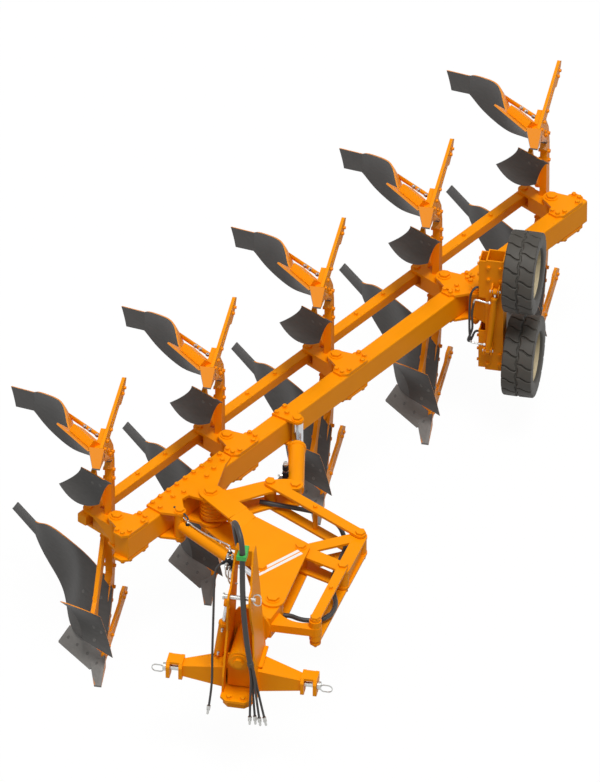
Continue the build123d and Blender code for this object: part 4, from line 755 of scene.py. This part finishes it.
turned("postNut", "carrier", hitchPoint(890, 4170, -145), (0, 0, -1),
       [(30, 0), (31, 2), (30, 18), (22, 34), (9, 48), (3, 50)], orangeEnamel, sides=24)
print("wheel post dressed")

# tyres: a closed section of radius against width, carried round the axle; the tread sinks where a
# groove passes. groove lines are the middle line and, on each side of it, S-shaped lines at even
# angles that slant the same way, half a step apart on the two sides
tyreLook = {"spot": (1251, 4110), "height": 381.0, "outer": 0.300, "half": 0.1125, "rim": 0.1903,
            "depth": 0.015, "blocks": 18, "grooveHalf": 0.0055, "ease": 0.003, "around": 900}


def tyreSkin(name, body, node, centre):
    half, outer = tyreLook["half"], tyreLook["outer"]
    tread = np.linspace(-0.975, 0.975, 66) * half
    shoulder = np.clip((np.abs(tread) / half - 0.9) / 0.1, 0, 1)
    crown = outer - 0.002 * (tread / half) ** 2 - 0.009 * shoulder ** 2
    wallTurn = np.linspace(0, 1, 16)[1:]
    tuck = np.clip(wallTurn - 0.55, 0, 1)
    wallWide = half * (0.975 + 0.025 * np.sin(wallTurn * math.pi * 0.75)) - 0.020 * tuck ** 1.5
    wallRadius = crown[-1] + (tyreLook["rim"] - crown[-1]) * wallTurn
    # two raised rings on the side wall
    for ringAt in (0.30, 0.80):
        wallWide = wallWide + 0.0016 * np.exp(-((wallTurn - ringAt) / 0.035) ** 2)
    wide = np.concatenate([-wallWide[::-1], tread, wallWide])
    radius = np.concatenate([wallRadius[::-1], crown, wallRadius])
    turn = np.linspace(0, 2 * math.pi, tyreLook["around"], endpoint=False)
    side = np.where(wide > 0, 1.0, -1.0)
    bow = side * 0.16 * np.sin(2 * math.pi * np.clip(np.abs(wide) / half, 0, 1)) - 0.7 * wide / half
    step = 2 * math.pi / tyreLook["blocks"]
    phase = turn[:, None] / step + side[None, :] * 0.25 + bow[None, :] * 0.42
    across = np.abs((phase + 0.5) % 1.0 - 0.5) * step * outer
    middle = np.abs(wide[None, :] - 0.005 * np.sin(2 * math.pi * turn[:, None] / step))
    nearest = np.minimum(across, middle)
    sink = np.clip(1 - (nearest - tyreLook["grooveHalf"]) / tyreLook["ease"], 0, 1)
    sink = sink * sink * (3 - 2 * sink) * np.clip((radius[None, :] - 0.262) / 0.016, 0, 1)
    shaped = radius[None, :] - tyreLook["depth"] * sink
    points = np.stack([np.broadcast_to(wide[None, :], shaped.shape), shaped * np.cos(turn)[:, None],
                       shaped * np.sin(turn)[:, None]], -1)
    index = np.arange(points.shape[0] * points.shape[1]).reshape(points.shape[:2])
    nextTurn, nextWide = np.roll(index, -1, axis=0), np.roll(index, -1, axis=1)
    quads = np.stack([index, nextTurn, np.roll(nextTurn, -1, axis=1), nextWide], -1).reshape(-1, 4)
    piece = putMesh(name, centre + points.reshape(-1, 3), [quads], tyreRubber, body,
                    smooth=True)
    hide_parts(node)


for place, side in (("Upper", 1), ("Lower", -1)):
    tyreSkin("tyre" + place, "wheel_" + place.lower(), "tyre_" + place.lower(),
             hitchPoint(*tyreLook["spot"], side * tyreLook["height"]))
print("tyres shaped")

# wheels: hub cap and eight nuts on each rim
wheelLook = {"spot": (1251, 4110), "height": 381.0, "nuts": 8, "nutRing": 0.094, "nut": 0.012}
turnOf = np.arange(wheelLook["nuts"]) * 2 * math.pi / wheelLook["nuts"] + 0.2
for body, side in (("wheel_upper", 1), ("wheel_lower", -1)):
    centre = hitchPoint(*wheelLook["spot"], side * wheelLook["height"])
    ringSpots = centre + np.stack([np.full(len(turnOf), 0.0285), wheelLook["nutRing"] * np.cos(turnOf),
                                   wheelLook["nutRing"] * np.sin(turnOf)], -1)
    leaning = np.stack([np.full(len(turnOf), 0.915), 0.402 * np.cos(turnOf), 0.402 * np.sin(turnOf)], -1)
    boltSet(body.replace("_", "") + "Nuts", body, ringSpots, leaning, wheelLook["nut"], hexHead, zincSteel)
    turned(body.replace("_", "") + "Cap", body, centre + np.array([0.0385, 0, 0]), (1, 0, 0),
           [(46, 0), (48, 2), (48, 8), (42, 12), (40, 24), (32, 30), (6, 33)], rimEnamel,
           sides=36)
print("wheels dressed")
print("pieces done")

# pale floor that keeps the shadow, and a plain backdrop colour for what the camera and mirrors see
stageLook = {"floor": "#8C8C8C", "glow": 0.9, "white": 1.08, "worldLight": 0.3, "key": 2.5, "fill": 0.3}
floorMesh = bpy.data.meshes.new("floor")
floorMesh.from_pydata([(-60, -60, -0.002), (60, -60, -0.002), (60, 60, -0.002), (-60, 60, -0.002)], [],
                      [(0, 1, 2, 3)])
floor = bpy.data.objects.new("floor", floorMesh)
bpy.context.scene.collection.objects.link(floor)


def seenStraight(tree):
    # one where the camera looks, directly, in a mirror or through glass, and nought for light on the object
    ray = addNode(tree, "ShaderNodeLightPath")
    seen = addNode(tree, "ShaderNodeMath", {"operation": "MAXIMUM"},
                   {0: ray.outputs["Is Camera Ray"], 1: ray.outputs["Is Glossy Ray"]})
    seenAll = addNode(tree, "ShaderNodeMath", {"operation": "MAXIMUM"},
                      {0: seen.outputs[0], 1: ray.outputs["Is Transmission Ray"]})
    return seenAll.outputs[0]


floorPaper, tree, shader = newMaterial("floorPaper")
shader.inputs["Base Color"].default_value = linear(stageLook["floor"])
shader.inputs["Roughness"].default_value = 0.9
share = addNode(tree, "ShaderNodeMath", {"operation": "MULTIPLY", 1: stageLook["glow"]},
                {0: seenStraight(tree)})
glow = addNode(tree, "ShaderNodeEmission", {"Color": (1, 1, 1, 1), "Strength": stageLook["white"]})
blendNode = addNode(tree, "ShaderNodeMixShader", links={0: share.outputs[0], 1: shader.outputs[0],
                                                        2: glow.outputs[0]})
tree.links.new(blendNode.outputs[0], tree.nodes["Material Output"].inputs["Surface"])
floorMesh.materials.append(floorPaper)

world = bpy.data.worlds.new("studio")
bpy.context.scene.world = world
world.use_nodes = True
tree = world.node_tree
level = addNode(tree, "ShaderNodeMapRange", {"To Min": stageLook["worldLight"], "To Max": 1.0},
                {"Value": seenStraight(tree)})
tree.links.new(level.outputs["Result"], tree.nodes["Background"].inputs["Strength"])
tree.nodes["Background"].inputs["Color"].default_value = (1, 1, 1, 1)


def sunLamp(name, strength, spread, way):
    lamp = bpy.data.lights.new(name, "SUN")
    lamp.energy = strength
    lamp.angle = math.radians(spread)
    holder = bpy.data.objects.new(name, lamp)
    holder.rotation_euler = way
    bpy.context.scene.collection.objects.link(holder)


sunLamp("keyLight", stageLook["key"], 25, (math.radians(14), math.radians(10), 0))
sunLamp("fillLight", stageLook["fill"], 60, (math.radians(55), math.radians(-30), math.radians(-35)))

# long lens from the front right, high up, as good as parallel
cameraLook = {"turn": 11.0, "rise": 39.0, "lens": 1000.0, "metresTall": 5.586,
              "target": hitch + np.array([-0.1553, 2.940, 0.0])}
turn, rise = math.radians(cameraLook["turn"]), math.radians(cameraLook["rise"])
back = np.array([math.sin(turn) * math.cos(rise), -math.cos(turn) * math.cos(rise), math.sin(rise)])
lens = bpy.data.cameras.new("camera")
lens.lens = cameraLook["lens"]
lens.sensor_width = 36.0
lens.clip_start, lens.clip_end = 1.0, 600.0
camera = bpy.data.objects.new("camera", lens)
camera.location = cameraLook["target"] + back * cameraLook["metresTall"] * cameraLook["lens"] / 36.0
camera.rotation_euler = (math.pi / 2 - rise, 0, turn)
bpy.context.scene.collection.objects.link(camera)
bpy.context.scene.camera = camera
bpy.context.scene.view_settings.view_transform = "Standard"
print("stage set")
